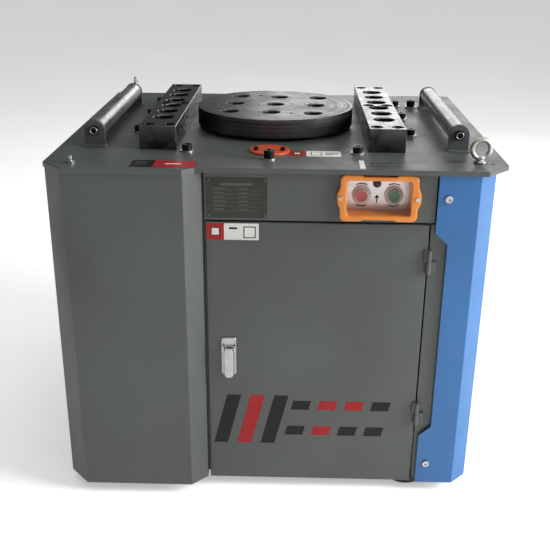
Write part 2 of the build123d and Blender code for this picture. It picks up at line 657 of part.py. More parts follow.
shroud_screws = [shroud_x + side * (shroud_width / 2 - shroud_screw_inset) for side in (-1, 1)]
with BuildPart() as front_fascia:
    x0, x1 = door_left - fascia_gap, cover_left - sheet
    block(x0, x1, door_face_y, frame_y, fascia_z, under_z)
    block(x0 + sheet, x1 - sheet, door_face_y + sheet, frame_y, fascia_z + sheet, under_z, mode=Mode.SUBTRACT)
    half_x, half_z = shroud_opening_x / 2 + shroud_wall + slip, shroud_opening_z / 2 + shroud_wall + slip
    block(shroud_x - half_x, shroud_x + half_x, door_face_y, frame_y, shroud_z - half_z, shroud_z + half_z,
          mode=Mode.SUBTRACT)
    for x in shroud_screws:
        rod_y(x, shroud_z, door_face_y, frame_y, shroud_screw_diameter, mode=Mode.SUBTRACT)
save(front_fascia, "front_fascia")

with BuildPart() as door_frame:
    block(*left_bar, frame_y, frame_back, skirt_gap + bar_foot, under_z)
    block(left_bar[0], right_bar[1], frame_y, frame_back, deck_z, deck_z + sill_height)
    block(left_bar[0], right_bar[1], frame_y, frame_back, door_top - rail_lap, fascia_z + rail_lap)
    block(*right_bar, right_bar_y, frame_y, skirt_gap + bar_foot, under_z)
    block(door_right + jamb_gap, right_bar[0], right_bar_y, frame_y, skirt_gap + bar_foot, door_top)
    for x, z in cover_screw_places:
        rod_y(x, z, right_bar_y, frame_y, cover_screw_diameter, mode=Mode.SUBTRACT)
save(door_frame, "door_frame")

post_left = left_face_x + sheet + post_gap
post_right = cover_right - sheet - post_gap - post
post_places = [
    (post_left, bay_front_y + corner_y + front_post_gaps[0]),
    (post_right, cover_face_y + cover_cut + front_post_gaps[1]),
    (post_left, cover_back - post_gap - post), (post_right, cover_back - post_gap - post),
]
with BuildPart() as corner_posts:
    for x, y in post_places:
        block(x, x + post, y, y + post, deck_top, under_z)
        block(x + post_wall, x + post - post_wall, y + post_wall, y + post - post_wall, deck_top, under_z,
              mode=Mode.SUBTRACT)
save(corner_posts, "corner_posts")

bay_folds, right_folds = inner_line(bay_points, -1)[2:], inner_line(right_points, 1)[1:]
with BuildPart() as base_deck:
    slab(bay_folds[::-1] + [
        (left_bar[0], bay_folds[0][1] + left_bar[0] - bay_folds[0][0]), (left_bar[0], frame_back),
        (right_bar[1], frame_back), (right_bar[1], cover_face_y + sheet),
    ] + right_folds, deck_z, deck_top)
    for x, y in caster_axes.values():
        rod_z(x, y, deck_z, deck_top, kingpin_diameter + 2 * running, mode=Mode.SUBTRACT)
save(base_deck, "base_deck")

# ======== Door, hinges and lock ========
with BuildPart() as front_door:
    block(door_left, door_right, door_face_y, door_face_y + door_return, skirt_gap, door_top)
    block(door_left + sheet, door_right - sheet, door_face_y + sheet, door_face_y + door_return,
          skirt_gap + sheet, door_top - sheet, mode=Mode.SUBTRACT)
    rod_y(lock_x, lock_z, door_face_y, door_face_y + sheet, lock_spindle + 2 * running, mode=Mode.SUBTRACT)
save(front_door, "front_door")

half_hinge = hinge_height / 2
with BuildPart() as frame_hinges:
    for z in hinge_zs:
        block(hinge_x, hinge_x + frame_leaf, right_bar_y - leaf_thick, right_bar_y, z, z + half_hinge)
        rod_z(hinge_x, hinge_y, z, z + half_hinge, hinge_diameter)
        rod_z(hinge_x, hinge_y, z, z + hinge_height - hinge_pin_short, hinge_pin)
save(frame_hinges, "frame_hinges")

with BuildPart() as door_hinges:
    for z in hinge_zs:
        low, top = z + half_hinge + hinge_slack, z + hinge_height
        block(door_right - door_leaf, hinge_x, door_face_y - leaf_thick, door_face_y, low, top)
        rod_z(hinge_x, hinge_y, low, top, hinge_diameter)
        rod_z(hinge_x, hinge_y, low, top - hinge_bore_short, hinge_pin + 2 * running, mode=Mode.SUBTRACT)
save(door_hinges, "door_hinges")

lock_face = door_face_y - lock_plate_thick
lever_y = (lock_face - lever_stand, lock_face - lever_stand + lever_thick)
lever_pivot_y = lever_y[0] + lever_thick / 2
with BuildPart() as lock_plate:
    half = lock_plate_width / 2
    block(lock_x - half, lock_x + half, lock_face, door_face_y, lock_z - lock_plate_below,
          lock_z + lock_plate_above)
    fillet(lock_plate.edges().filter_by(Axis.Y), lock_corner)
    rod_y(lock_x, lock_z, lock_face, door_face_y, lock_spindle + 2 * running, mode=Mode.SUBTRACT)
save(lock_plate, "lock_plate")

ear = lever_width / 2 + slip
with BuildPart() as lock_cam:
    reach, rise, clevis_back = ear + clevis_wall, clevis_height / 2, lock_face - clevis_gap
    cam_y = frame_back + cam_gap
    block(lock_x - reach, lock_x + reach, lever_y[0], clevis_back, lock_z - rise, lock_z + rise)
    block(lock_x - ear, lock_x + ear, lever_y[0], lever_y[1] + slip, lock_z - rise, lock_z + rise,
          mode=Mode.SUBTRACT)
    rod_x(lever_pivot_y, lock_z, lock_x - reach, lock_x + reach, lever_pin)
    rod_y(lock_x, lock_z, clevis_back, cam_y + cam_thick + edge_break, lock_spindle)
    block(lock_x - cam_width / 2, lock_x + cam_width / 2, cam_y, cam_y + cam_thick,
          lock_z - cam_width / 2, lock_z + cam_length)
save(lock_cam, "lock_cam")

with BuildPart() as lock_lever:
    block(lock_x - lever_width / 2, lock_x + lever_width / 2, *lever_y, lock_z - lever_length, lock_z)
    fillet(lock_lever.edges().filter_by(Axis.Y).group_by(Axis.Z)[0], lever_corner)
    rod_x(lever_pivot_y, lock_z, lock_x - lever_width / 2, lock_x + lever_width / 2, lever_thick)
    rod_x(lever_pivot_y, lock_z, lock_x - lever_width / 2, lock_x + lever_width / 2, lever_pin + 2 * running,
          mode=Mode.SUBTRACT)
save(lock_lever, "lock_lever")

# ======== Controls ========
front_plane = Plane((shroud_x, door_face_y, shroud_z), x_dir=(1, 0, 0), z_dir=(0, -1, 0))
tube_x, tube_z = shroud_opening_x + 2 * shroud_wall, shroud_opening_z + 2 * shroud_wall
with BuildPart() as control_shroud:
    with BuildSketch(front_plane) as flange:
        RectangleRounded(shroud_width, shroud_height, shroud_corner)
        with Locations((shroud_screws[0] - shroud_x, 0), (shroud_screws[1] - shroud_x, 0)):
            Circle(shroud_ear)
        with Locations((0, -shroud_height / 2), (0, shroud_height / 2)):
            SlotOverall(shroud_width / 2, shroud_dip, mode=Mode.SUBTRACT)
    extrude(flange.sketch, amount=shroud_proud)
    chamfer(control_shroud.edges().group_by(Axis.Y)[0], shroud_chamfer)
    block(shroud_x - tube_x / 2, shroud_x + tube_x / 2, door_face_y, panel_y,
          shroud_z - tube_z / 2, shroud_z + tube_z / 2)
    with BuildSketch(front_plane) as opening:
        RectangleRounded(shroud_opening_x, shroud_opening_z, opening_corner)
    extrude(opening.sketch, amount=shroud_proud, mode=Mode.SUBTRACT)
    extrude(opening.sketch, amount=-shroud_depth, mode=Mode.SUBTRACT)
    for x in shroud_screws:
        rod_y(x, shroud_z, door_face_y - shroud_proud, door_face_y, shroud_screw_diameter, mode=Mode.SUBTRACT)
save(control_shroud, "control_shroud")

button_z = table_height - button_drop
button_xs = (shroud_x + button_shift - button_x, shroud_x + button_shift + button_x)
lamp_x, lamp_z = shroud_x + lamp_shift, table_height - lamp_drop
with BuildPart() as control_panel:
    block(shroud_x - tube_x / 2, shroud_x + tube_x / 2, panel_y, panel_y + sheet,
          shroud_z - tube_z / 2, shroud_z + tube_z / 2)
    for x in button_xs:
        rod_y(x, button_z, panel_y, panel_y + sheet, panel_hole, mode=Mode.SUBTRACT)
    rod_y(lamp_x, lamp_z, panel_y, panel_y + sheet, lamp_hole, mode=Mode.SUBTRACT)
save(control_panel, "control_panel")

with BuildPart() as control_box:
    y0, y1 = panel_y + sheet, panel_y + sheet + control_box_depth
    block(shroud_x - tube_x / 2, shroud_x + tube_x / 2, y0, y1, shroud_z - tube_z / 2, shroud_z + tube_z / 2)
    block(shroud_x - tube_x / 2 + sheet, shroud_x + tube_x / 2 - sheet, y0, y1 - sheet,
          shroud_z - tube_z / 2 + sheet, shroud_z + tube_z / 2 - sheet, mode=Mode.SUBTRACT)
save(control_box, "control_box")

cap_room = button_diameter + 2 * slip
panel_back = panel_y + sheet
with BuildPart() as button_bezels:
    for x in button_xs:
        rod_y(x, button_z, panel_y - bezel_height, panel_y, bezel_diameter)
        rod_y(x, button_z, panel_y - bezel_height, panel_y, cap_room, mode=Mode.SUBTRACT)
        rod_y(x, button_z, panel_y, panel_back + bezel_tail, panel_hole)
        rod_y(x, button_z, panel_y - bezel_floor, panel_y, bezel_diameter)
        rod_y(x, button_z, panel_back, panel_back + bezel_nut_thick, bezel_nut)
        rod_y(x, button_z, panel_y - bezel_floor, panel_back + bezel_tail - button_travel,
              button_stem + 2 * running, mode=Mode.SUBTRACT)
save(button_bezels, "button_bezels")

for name, x in zip(("red_button", "green_button"), button_xs):
    with BuildPart() as button:
        back = panel_y - bezel_floor - button_travel - button_spare
        rod_y(x, button_z, back - button_cap, back, button_diameter)
        fillet(button.edges().group_by(Axis.Y)[0], button_round)
        rod_y(x, button_z, back, panel_back + stem_tail, button_stem)
    save(button, name)

with BuildPart() as pilot_lamp:
    rod_y(lamp_x, lamp_z, panel_y - lamp_height, panel_y, lamp_diameter)
    fillet(pilot_lamp.edges().group_by(Axis.Y)[0], lamp_round)
    rod_y(lamp_x, lamp_z, panel_y, panel_back + lamp_tail, lamp_hole)
save(pilot_lamp, "pilot_lamp")

with BuildPart() as cover_screws:
    for x, z in cover_screw_places:
        head_y = cover_face_y - cover_screw_height
        rod_y(x, z, head_y, cover_face_y, cover_screw_head)
        rod_y(x, z, cover_face_y, frame_y, cover_screw_diameter)
        hex_recess(Plane((x, head_y, z), x_dir=(1, 0, 0), z_dir=(0, -1, 0)), cover_screw_head / 2,
                   cover_screw_height / 2)
    for x in shroud_screws:
        y = door_face_y - shroud_proud
        rod_y(x, shroud_z, y - shroud_screw_height, y, shroud_screw_head)
        rod_y(x, shroud_z, y, door_face_y + shroud_screw_head, shroud_screw_diameter)
    for x, z in rear_screws:
        rod_y(x, z, cover_back + sheet, rear_y - 1, rear_screw_head)
        rod_y(x, z, cover_back - post_gap, cover_back + sheet, rear_screw_diameter)
save(cover_screws, "cover_screws")

# ======== Gearbox ========
gear_rooms = [
    (main_axis, gear_radii(*gear_sets["main"][:2])["tip"]),
    (second_axis, gear_radii(*gear_sets["second"][:2])["tip"]),
    (third_axis, gear_radii(*gear_sets["third"][:2])["tip"]),
    (input_axis, input_shaft_diameter / 2 + bearing_wall),
]


def gearbox_outline(z, extra):
    """The gears' circles, grown by extra, with a belt drawn round them all."""
    with BuildSketch(Plane.XY.offset(z)) as outline:
        for centre, radius in gear_rooms:
            with Locations(centre):
                Circle(radius + extra)
        make_hull()
    return outline.sketch


with BuildPart() as gearbox_housing:
    extrude(gearbox_outline(box_bottom, gear_room + gearbox_wall), amount=box_top - box_bottom)
    extrude(gearbox_outline(box_floor, gear_room), amount=box_top - box_floor, mode=Mode.SUBTRACT)
    for (x, y), diameter in shafts.values():
        rod_z(x, y, *low_bearing_z, diameter + 2 * bearing_wall, mode=Mode.SUBTRACT)
    rod_z(*input_axis, box_bottom, box_floor, input_shaft_diameter + oil_gap, mode=Mode.SUBTRACT)
save(gearbox_housing, "gearbox_housing")

cover_rear = second_axis[1] + gear_rooms[1][1] + gear_room + gearbox_wall + sheet
with BuildPart() as gearbox_cover:
    reach, front_reach = cover_bolt_x + cover_bolt_margin, front_bolt_x + cover_bolt_margin
    cover_front, shoulder = axis_y + front_bolt_y - cover_bolt_margin, axis_y + gearbox_shoulder
    slab([
        (axis_x - reach, shoulder), (axis_x - front_reach, cover_front),
        (axis_x + front_reach, cover_front), (axis_x + reach, shoulder),
        (axis_x + reach, cover_rear), (axis_x - reach, cover_rear),
    ], box_top, under_z)
    for (x, y), diameter in shafts.values():
        rod_z(x, y, *top_bearing_z, diameter + 2 * bearing_wall, mode=Mode.SUBTRACT)
    rod_z(*main_axis, box_top, under_z, main_shaft_diameter + shaft_hole_gap, mode=Mode.SUBTRACT)
    for x, y in cover_bolts:
        rod_z(x, y, box_top, under_z, bolt_diameter, mode=Mode.SUBTRACT)
    rod_z(port_x, port_y, box_top, under_z, port_hole - 2 * shaft_hole_gap, mode=Mode.SUBTRACT)
save(gearbox_cover, "gearbox_cover")

with BuildPart() as shaft_bearings:
    for (x, y), diameter in shafts.values():
        for z0, z1 in (top_bearing_z, low_bearing_z):
            rod_z(x, y, z0, z1, diameter + 2 * bearing_wall)
            middle = diameter + bearing_wall
            for face in (z0, z1 - race_groove):
                rod_z(x, y, face, face + race_groove, middle + race_outer, mode=Mode.SUBTRACT)
                rod_z(x, y, face, face + race_groove, middle + race_inner)
            rod_z(x, y, z0, z1, diameter + 2 * running, mode=Mode.SUBTRACT)
save(shaft_bearings, "shaft_bearings")

with BuildPart() as main_gear:
    gear(*main_axis, *main_gear_z, *gear_sets["main"][:2], shaft_angles["second"], main_shaft_diameter)
save(main_gear, "main_gear")

geared_shafts = (
    ("second_shaft", "main", second_axis, second_shaft_diameter, main_gear_z, shaft_angles["second"]),
    ("third_shaft", "second", third_axis, third_shaft_diameter, second_gear_z, shaft_angles["third"]),
    ("input_shaft", "third", input_axis, input_shaft_diameter, third_gear_z, shaft_angles["input"]),
)
for name, driven, place, diameter, level, direction in geared_shafts:
    module, _, teeth = gear_sets[driven]
    low = pulley_z[0] - input_shaft_tail if name == "input_shaft" else shaft_ends[0]
    with BuildPart() as geared_shaft:
        gear(*place, level[0] - pinion_extra / 2, level[1] + pinion_extra / 2, module, teeth,
             pinion_phase(driven, direction))
        rod_z(*place, low, shaft_ends[1], diameter)
    save(geared_shaft, name)

for name, key, place, diameter, level, turn in (
    ("second_gear", "second", second_axis, second_shaft_diameter, second_gear_z, shaft_angles["third"]),
    ("third_gear", "third", third_axis, third_shaft_diameter, third_gear_z, shaft_angles["input"]),
):
    with BuildPart() as driven_gear:
        gear(*place, *level, *gear_sets[key][:2], turn, diameter)
    save(driven_gear, name)

# ======== Belt drive and motor ========
groove_top, groove_depth = belt_top + groove_clearance, belt_height + groove_spare
groove_bottom = groove_top - 2 * groove_depth * tan(radians(groove_half_angle))


def pulley(place, z0, pitch, bore):
    """A pulley turned from one profile, with two V grooves."""
    rim, middle = pitch / 2 + rim_rise, pulley_width / 2
    profile = [(bore / 2, 0), (rim, 0)]
    for groove in (-1, 1):
        centre = middle + groove * groove_spacing / 2
        profile += [
            (rim, centre - groove_top / 2), (rim - groove_depth, centre - groove_bottom / 2),
            (rim - groove_depth, centre + groove_bottom / 2), (rim, centre + groove_top / 2),
        ]
    profile += [(rim, pulley_width), (bore / 2, pulley_width)]
    plane = Plane((*place, z0), x_dir=(1, 0, 0), z_dir=(0, -1, 0))
    with BuildSketch(plane) as half_section:
        with BuildLine():
            Polyline(*profile, close=True)
        make_face()
    revolve(half_section.sketch, axis=Axis((*place, z0), (0, 0, 1)))


with BuildPart() as driven_pulley:
    pulley(input_axis, pulley_z[0], driven_pulley_pitch, input_shaft_diameter)
save(driven_pulley, "driven_pulley")

with BuildPart() as motor_pulley:
    pulley(motor_axis, pulley_z[0], motor_pulley_pitch, motor_shaft_diameter)
save(motor_pulley, "motor_pulley")


def belt_section(centre, z, angle, pitch):
    """A belt's trapezium on the upright plane that leaves a pulley's centre at an angle."""
    outward = (cos(radians(angle)), sin(radians(angle)))
    plane = Plane((*centre, z), x_dir=(*outward, 0), z_dir=(outward[1], -outward[0], 0))
    back, narrow = pitch / 2 + rim_rise - belt_sunk, belt_height * tan(radians(groove_half_angle))
    with BuildSketch(plane) as section:
        with BuildLine():
            Polyline((back, -belt_top / 2), (back, belt_top / 2), (back - belt_height, belt_top / 2 - narrow),
                     (back - belt_height, narrow - belt_top / 2), close=True)
        make_face()
    return section.sketch


belt_line = Vector(*motor_axis) - Vector(*input_axis)
belt_angle = degrees(atan2(belt_line.Y, belt_line.X))
pitch_step = (driven_pulley_pitch - motor_pulley_pitch) / 2
wrap = degrees(acos(pitch_step / belt_line.length))
span = (belt_line.length ** 2 - pitch_step ** 2) ** 0.5
with BuildPart() as drive_belts:
    for groove in (-1, 1):
        z = (pulley_z[0] + pulley_z[1]) / 2 + groove * groove_spacing / 2
        upper = belt_section(input_axis, z, belt_angle + wrap, driven_pulley_pitch)
        lower = belt_section(input_axis, z, belt_angle - wrap, driven_pulley_pitch)
        round_motor = belt_section(motor_axis, z, belt_angle - wrap, motor_pulley_pitch)
        revolve(upper, axis=Axis((*input_axis, z), (0, 0, 1)), revolution_arc=360 - 2 * wrap)
        revolve(round_motor, axis=Axis((*motor_axis, z), (0, 0, 1)), revolution_arc=2 * wrap)
        extrude(upper, amount=span)
        extrude(lower, amount=-span)
save(drive_belts, "drive_belts")

motor_top = motor_plate_z[0]
motor_bottom = motor_top - motor_length
cowl_top = motor_bottom + cowl_length
with BuildPart() as motor_housing:
    rod_z(*motor_axis, cowl_top, motor_top, 2 * motor_radius)
    rod_z(*motor_axis, motor_bottom, cowl_top, 2 * (motor_radius + cowl_grown))
    rod_z(*motor_axis, motor_top - motor_flange_thick, motor_top, 2 * (motor_radius + motor_flange))
    fin_low, fin_high = cowl_top + motor_flange_thick / 2, motor_top - motor_flange_thick
    with Locations((*motor_axis, fin_low)):
        with PolarLocations(motor_radius + motor_fin / 2 - 1, motor_fin_count):
            Box(motor_fin, motor_fin_thick, fin_high - fin_low, align=(Align.CENTER, Align.CENTER, Align.MIN))
    box_proud, box_width, terminal_low, terminal_high = terminal_box
    side_x = motor_axis[0] + motor_radius + motor_flange
    block(side_x - box_proud, side_x, motor_axis[1] - box_width / 2, motor_axis[1] + box_width / 2,
          motor_bottom + terminal_low, motor_bottom + terminal_high)
    rod_z(*motor_axis, cowl_top + motor_flange_thick, motor_top - motor_flange_thick, stator_bore,
          mode=Mode.SUBTRACT)
    rod_z(*motor_axis, motor_bottom + cowl_wall, cowl_top, fan_room, mode=Mode.SUBTRACT)
    rod_z(*motor_axis, cowl_top, motor_top, motor_shaft_diameter + 2 * running, mode=Mode.SUBTRACT)
    with Locations((*motor_axis, motor_bottom)):
        for ring, count in cowl_holes:
            with PolarLocations(ring, count):
                Cylinder(cowl_hole / 2, cowl_wall, align=(Align.CENTER, Align.CENTER, Align.MIN),
                         mode=Mode.SUBTRACT)
save(motor_housing, "motor_housing")

fan_z = motor_bottom + 3 * cowl_wall
with BuildPart() as motor_rotor:
    rod_z(*motor_axis, motor_bottom + 2 * cowl_wall, pulley_z[1] + 1, motor_shaft_diameter)
    rod_z(*motor_axis, motor_bottom + rotor_low, motor_top - rotor_high, rotor_diameter)
    rod_z(*motor_axis, fan_z, fan_z + fan_width + 2, fan_hub)
    with Locations((*motor_axis, fan_z)):
        with PolarLocations((fan_diameter + fan_hub) / 4 - 1, fan_blades):
            Box((fan_diameter - fan_hub) / 2 + 2, fan_blade, fan_width,
                align=(Align.CENTER, Align.CENTER, Align.MIN))
save(motor_rotor, "motor_rotor")

mount_reach, mount_depth = motor_radius + 2 * motor_flange, 2 * (motor_radius + motor_flange)
with BuildPart() as motor_mount:
    x, y = motor_axis
    block(x - mount_reach, x + mount_reach, y - mount_depth / 2, y + mount_depth / 2, *motor_plate_z)
    for side in (-1, 1):
        x0, x1 = sorted((x + side * mount_reach, x + side * (mount_reach - motor_mount_wall)))
        block(x0, x1, y - mount_depth / 2, y + mount_depth / 2, deck_top, motor_plate_z[0])
    rod_z(x, y, *motor_plate_z, motor_plate_hole, mode=Mode.SUBTRACT)
save(motor_mount, "motor_mount")

# ======== Electrical plate, cable gland ========
plate_y = post_places[0][1] + post
with BuildPart() as electrical_plate:
    x0, x1 = post_places[0][0], left_bar[0] - plate_gap
    block(x0, x1, plate_y, plate_y + plate_thick, deck_top, deck_top + plate_height)
    width, depth, height = contactor_size
    front, low = plate_y - depth, deck_top + contactor_rise
    for i in range(contactor_count):
        x = x0 + contactor_inset + i * contactor_pitch
        block(x, x + width, front, plate_y, low, low + height)
        block(x + contactor_face, x + width - contactor_face, front - contactor_face_proud, front,
              low + 2 * contactor_face, low + height - 2 * contactor_face)
    low, front = deck_top + terminal_block_rise, plate_y - terminal_block_depth
    block(x0 + terminal_block_inset, x1 - plate_gap, front, plate_y, low, low + terminal_block_height)
    for i in range(terminal_count):
        x = x0 + contactor_inset + contactor_face + i * terminal_pitch
        rod_y(x, low + terminal_block_height / 2, front - terminal_proud, front, terminal_diameter)
save(electrical_plate, "electrical_plate")

with BuildPart() as cable_gland:
    gland = (left_wheel_x + swivel_radius + gland_gap, rear_y - gland_rear_inset)
    rod_z(*gland, deck_z - gland_length, deck_z, gland_diameter)
    with BuildSketch(Plane((*gland, deck_z - gland_nut_height))) as nut:
        RegularPolygon(gland_nut / 2, 6, major_radius=False)
    extrude(nut.sketch, amount=gland_nut_height)
    rod_z(*gland, deck_z - gland_length, deck_z, gland_bore, mode=Mode.SUBTRACT)
save(cable_gland, "cable_gland")

# ======== Wheels and forks ========
wheel_z = wheel_diameter / 2
fork_half = wheel_width / 2 + wheel_side_gap
wheel_places = {
    "front_left_wheel": (caster_axes["front"][0] + caster_trail, caster_axes["front"][1]),
    "rear_left_wheel": (caster_axes["rear"][0] + caster_trail, caster_axes["rear"][1]),
    "front_right_wheel": (right_wheel_x, front_wheel_y),
    "rear_right_wheel": (right_wheel_x, rear_wheel_y),
}


def fork(plate_x, axle_x, y):
    """A folded fork: a plate under the deck, two legs and the axle bolt."""
    block(plate_x - fork_half_length, plate_x + fork_half_length, y - fork_half - fork_leg,
          y + fork_half + fork_leg, deck_z - fork_plate, deck_z - slip)
    for inner in (-fork_half - fork_leg, fork_half):
        plane = Plane((0, y + inner, 0), x_dir=(1, 0, 0), z_dir=(0, -1, 0))
        with BuildSketch(plane) as leg:
            with Locations((axle_x, wheel_z)):
                Circle(wheel_axle)
            with Locations((plate_x, deck_z - fork_plate)):
                Rectangle(2 * fork_leg_top, fork_leg, align=(Align.CENTER, Align.MIN))
            make_hull()
        extrude(leg.sketch, amount=-fork_leg)
    rod_y(axle_x, wheel_z, y - fork_half - fork_leg, y + fork_half + fork_leg, wheel_axle)


for name, (x, y) in wheel_places.items():
    with BuildPart() as wheel:
        rod_y(x, wheel_z, y - wheel_width / 2, y + wheel_width / 2, wheel_diameter)
        fillet(wheel.edges().filter_by(GeomType.CIRCLE), wheel_round)
        for side in (-1, 1):
            y0, y1 = sorted((y + side * wheel_width / 2, y + side * (wheel_width / 2 - hub_recess)))
            rod_y(x, wheel_z, y0, y1, wheel_diameter - 2 * rim_height, mode=Mode.SUBTRACT)
            rod_y(x, wheel_z, y0, y1, hub_diameter)
        rod_y(x, wheel_z, y - wheel_width / 2, y + wheel_width / 2, wheel_axle + 2 * running,
              mode=Mode.SUBTRACT)
    save(wheel, name)

for end, (x, y) in caster_axes.items():
    with BuildPart() as caster_fork:
        fork(x, x + caster_trail, y)
        rod_z(x, y, deck_z - fork_plate, deck_top + fork_leg / 2, kingpin_diameter)
    save(caster_fork, f"{end}_caster_fork")

with BuildPart() as fixed_forks:
    for y in (front_wheel_y, rear_wheel_y):
        fork(right_wheel_x, right_wheel_x, y)
        block(right_wheel_x - fork_half_length, right_wheel_x + fork_half_length, y - fork_half - fork_leg,
              y + fork_half + fork_leg, deck_z - fork_plate, deck_z)
save(fixed_forks, "fixed_forks")

print("disc axis", main_axis, "gear axes", second_axis, third_axis, input_axis, "motor", motor_axis)
print("casters", caster_axes, "wheels", wheel_places)
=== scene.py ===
import json
from functools import partial
from math import cos, pi, radians, sin

import bmesh
import bpy
import numpy as np
from mathutils import Matrix, Vector


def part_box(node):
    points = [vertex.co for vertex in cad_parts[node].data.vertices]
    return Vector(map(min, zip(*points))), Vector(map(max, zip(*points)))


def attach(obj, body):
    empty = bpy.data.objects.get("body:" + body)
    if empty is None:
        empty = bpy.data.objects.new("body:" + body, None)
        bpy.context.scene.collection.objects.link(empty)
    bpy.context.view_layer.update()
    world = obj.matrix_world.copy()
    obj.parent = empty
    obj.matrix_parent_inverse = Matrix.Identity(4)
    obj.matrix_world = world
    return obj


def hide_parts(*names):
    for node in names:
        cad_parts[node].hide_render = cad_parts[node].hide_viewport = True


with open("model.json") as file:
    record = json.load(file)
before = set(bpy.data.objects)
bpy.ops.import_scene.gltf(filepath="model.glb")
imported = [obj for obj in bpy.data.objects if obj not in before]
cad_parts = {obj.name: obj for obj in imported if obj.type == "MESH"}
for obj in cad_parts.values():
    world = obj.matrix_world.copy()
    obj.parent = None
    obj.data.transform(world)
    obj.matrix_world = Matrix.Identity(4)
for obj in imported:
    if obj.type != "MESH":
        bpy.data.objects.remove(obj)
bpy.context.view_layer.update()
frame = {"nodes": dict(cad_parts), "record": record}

nodes = frame["nodes"]
mm = 0.001
print("frame loaded:", len(nodes), "CAD nodes")


# small helpers

def linearColour(code, alpha=1.0):
    # sRGB hex to linear light: c/12.92 below 0.04045, else ((c + 0.055) / 1.055) ** 2.4
    c = np.array([int(code[i:i + 2], 16) for i in (1, 3, 5)]) / 255
    c = np.where(c <= 0.04045, c / 12.92, ((c + 0.055) / 1.055) ** 2.4)
    return (*c.tolist(), alpha)


def perMetre(sizeMm):
    # texture scale whose features are about sizeMm across
    return 1000.0 / sizeMm


def addNode(tree, kind, inputs=(), output=0, **settings):
    # one node with its options, its values and its links; inputs come in order or by name
    node = tree.nodes.new("ShaderNode" + kind)
    for key, value in settings.items():
        setattr(node, key, value)
    for key, value in (inputs.items() if isinstance(inputs, dict) else enumerate(inputs)):
        if isinstance(value, bpy.types.NodeSocket):
            tree.links.new(value, node.inputs[key])
        else:
            node.inputs[key].default_value = value
    return node.outputs[output]


def mottle(add, place, sizeMm, detail=3.0, stretch=None, seed=0.0):
    # a cloudy pattern with blobs about sizeMm across; stretch draws it out along an axis
    if stretch:
        place = add("Mapping", {"Vector": place, "Scale": stretch, "Location": (seed, seed, seed)})
    return add("TexNoise", {"Vector": place, "Scale": perMetre(sizeMm), "Detail": detail})


def newMaterial(name, look, **sockets):
    # a Principled material: its shader, its own addNode, object coordinates and the look's colours as light
    material = bpy.data.materials.new(name)
    material.use_nodes = True
    shader = material.node_tree.nodes["Principled BSDF"]
    for key, value in sockets.items():
        shader.inputs[key].default_value = value
    add = partial(addNode, material.node_tree)
    tint = {key: linearColour(value) for key, value in look.items() if isinstance(value, str)}
    return material, shader, add, add("TexCoord", output="Object"), tint


colourMix = {"output": 2, "data_type": "RGBA"}     # the options of every colour mix

# camera and lights

camera = {"place": (0.03295, -1.92789, 1.14099), "lens": 55.53, "pitch": 22.13, "yaw": 1.19, "roll": 0.55}
cameraData = bpy.data.cameras.new("camera")
cameraData.lens = camera["lens"]
cameraData.sensor_width = 36.0
cameraObject = bpy.data.objects.new("camera", cameraData)
bpy.context.scene.collection.objects.link(cameraObject)
cameraObject.matrix_world = (
    Matrix.Translation(camera["place"]) @ Matrix.Rotation(radians(camera["yaw"]), 4, "Z")
    @ Matrix.Rotation(radians(90 - camera["pitch"]), 4, "X")
    @ Matrix.Rotation(radians(camera["roll"]), 4, "Z")
)
bpy.context.scene.camera = cameraObject
bpy.context.scene.view_settings.view_transform = "Standard"

lamps = {
    # name: place, aimed at, width, height, watts, colour
    "rearSoftbox": ((0.68, 3.1, 1.50), (0.12, 0.0, 0.77), 1.8, 0.8, 14.0, "#FFFFFF"),
    "keySoftbox": ((3.1, -0.95, 1.7), (0.1, -0.1, 0.45), 1.7, 1.7, 205.0, "#FFFDF8"),
    "fillSoftbox": ((0.2, -3.5, 1.9), (0.0, -0.3, 0.35), 2.0, 2.0, 3.0, "#F6F9FF"),
    "topSoftbox": ((0.2, 0.3, 3.4), (0.0, 0.0, 0.0), 3.2, 3.2, 44.0, "#FFFFFF"),
}
for name, (place, target, width, height, watts, colour) in lamps.items():
    lampData = bpy.data.lights.new(name, "AREA")
    lampData.shape, lampData.size, lampData.size_y = "RECTANGLE", width, height
    lampData.energy, lampData.color = watts, linearColour(colour)[:3]
    lamp = bpy.data.objects.new(name, lampData)
    lamp.location = place
    lamp.rotation_euler = (Vector(target) - Vector(place)).to_track_quat("-Z", "Y").to_euler()
    bpy.context.scene.collection.objects.link(lamp)

# soft room light, darker towards the back left, which the polished faces mirror
room = {"pale": "#EDEFF2", "dark": "#7C7F83", "darkSide": (-0.80, 0.60, 0.0), "from": 0.10, "to": 0.90,
        "strength": 0.34}
world = bpy.data.worlds.new("studio")
world.use_nodes = True
worldTree = world.node_tree
addSky = partial(addNode, worldTree)
towards = addSky("TexCoord", output="Generated")
leaning = addSky("VectorMath", [towards, room["darkSide"]], "Value", operation="DOT_PRODUCT")
share = addSky("MapRange", [leaning, room["from"], room["to"]])
sky = addSky("Mix", {0: share, 6: linearColour(room["pale"]), 7: linearColour(room["dark"])}, **colourMix)
background = worldTree.nodes["Background"]
background.inputs["Strength"].default_value = room["strength"]
worldTree.links.new(sky, background.inputs["Color"])
bpy.context.scene.world = world
print("camera and lights set")


# surfaces worked out on a grid

def gridFaces(rows, columns, closeRows, closeColumns):
    # corner numbers of every quad of a rows x columns grid
    r = np.arange(rows if closeRows else rows - 1)
    c = np.arange(columns if closeColumns else columns - 1)
    r, c = (a.ravel() for a in np.meshgrid(r, c, indexing="ij"))
    nextR, nextC = (r + 1) % rows, (c + 1) % columns
    return np.stack([r * columns + c, r * columns + nextC, nextR * columns + nextC, nextR * columns + c], 1)


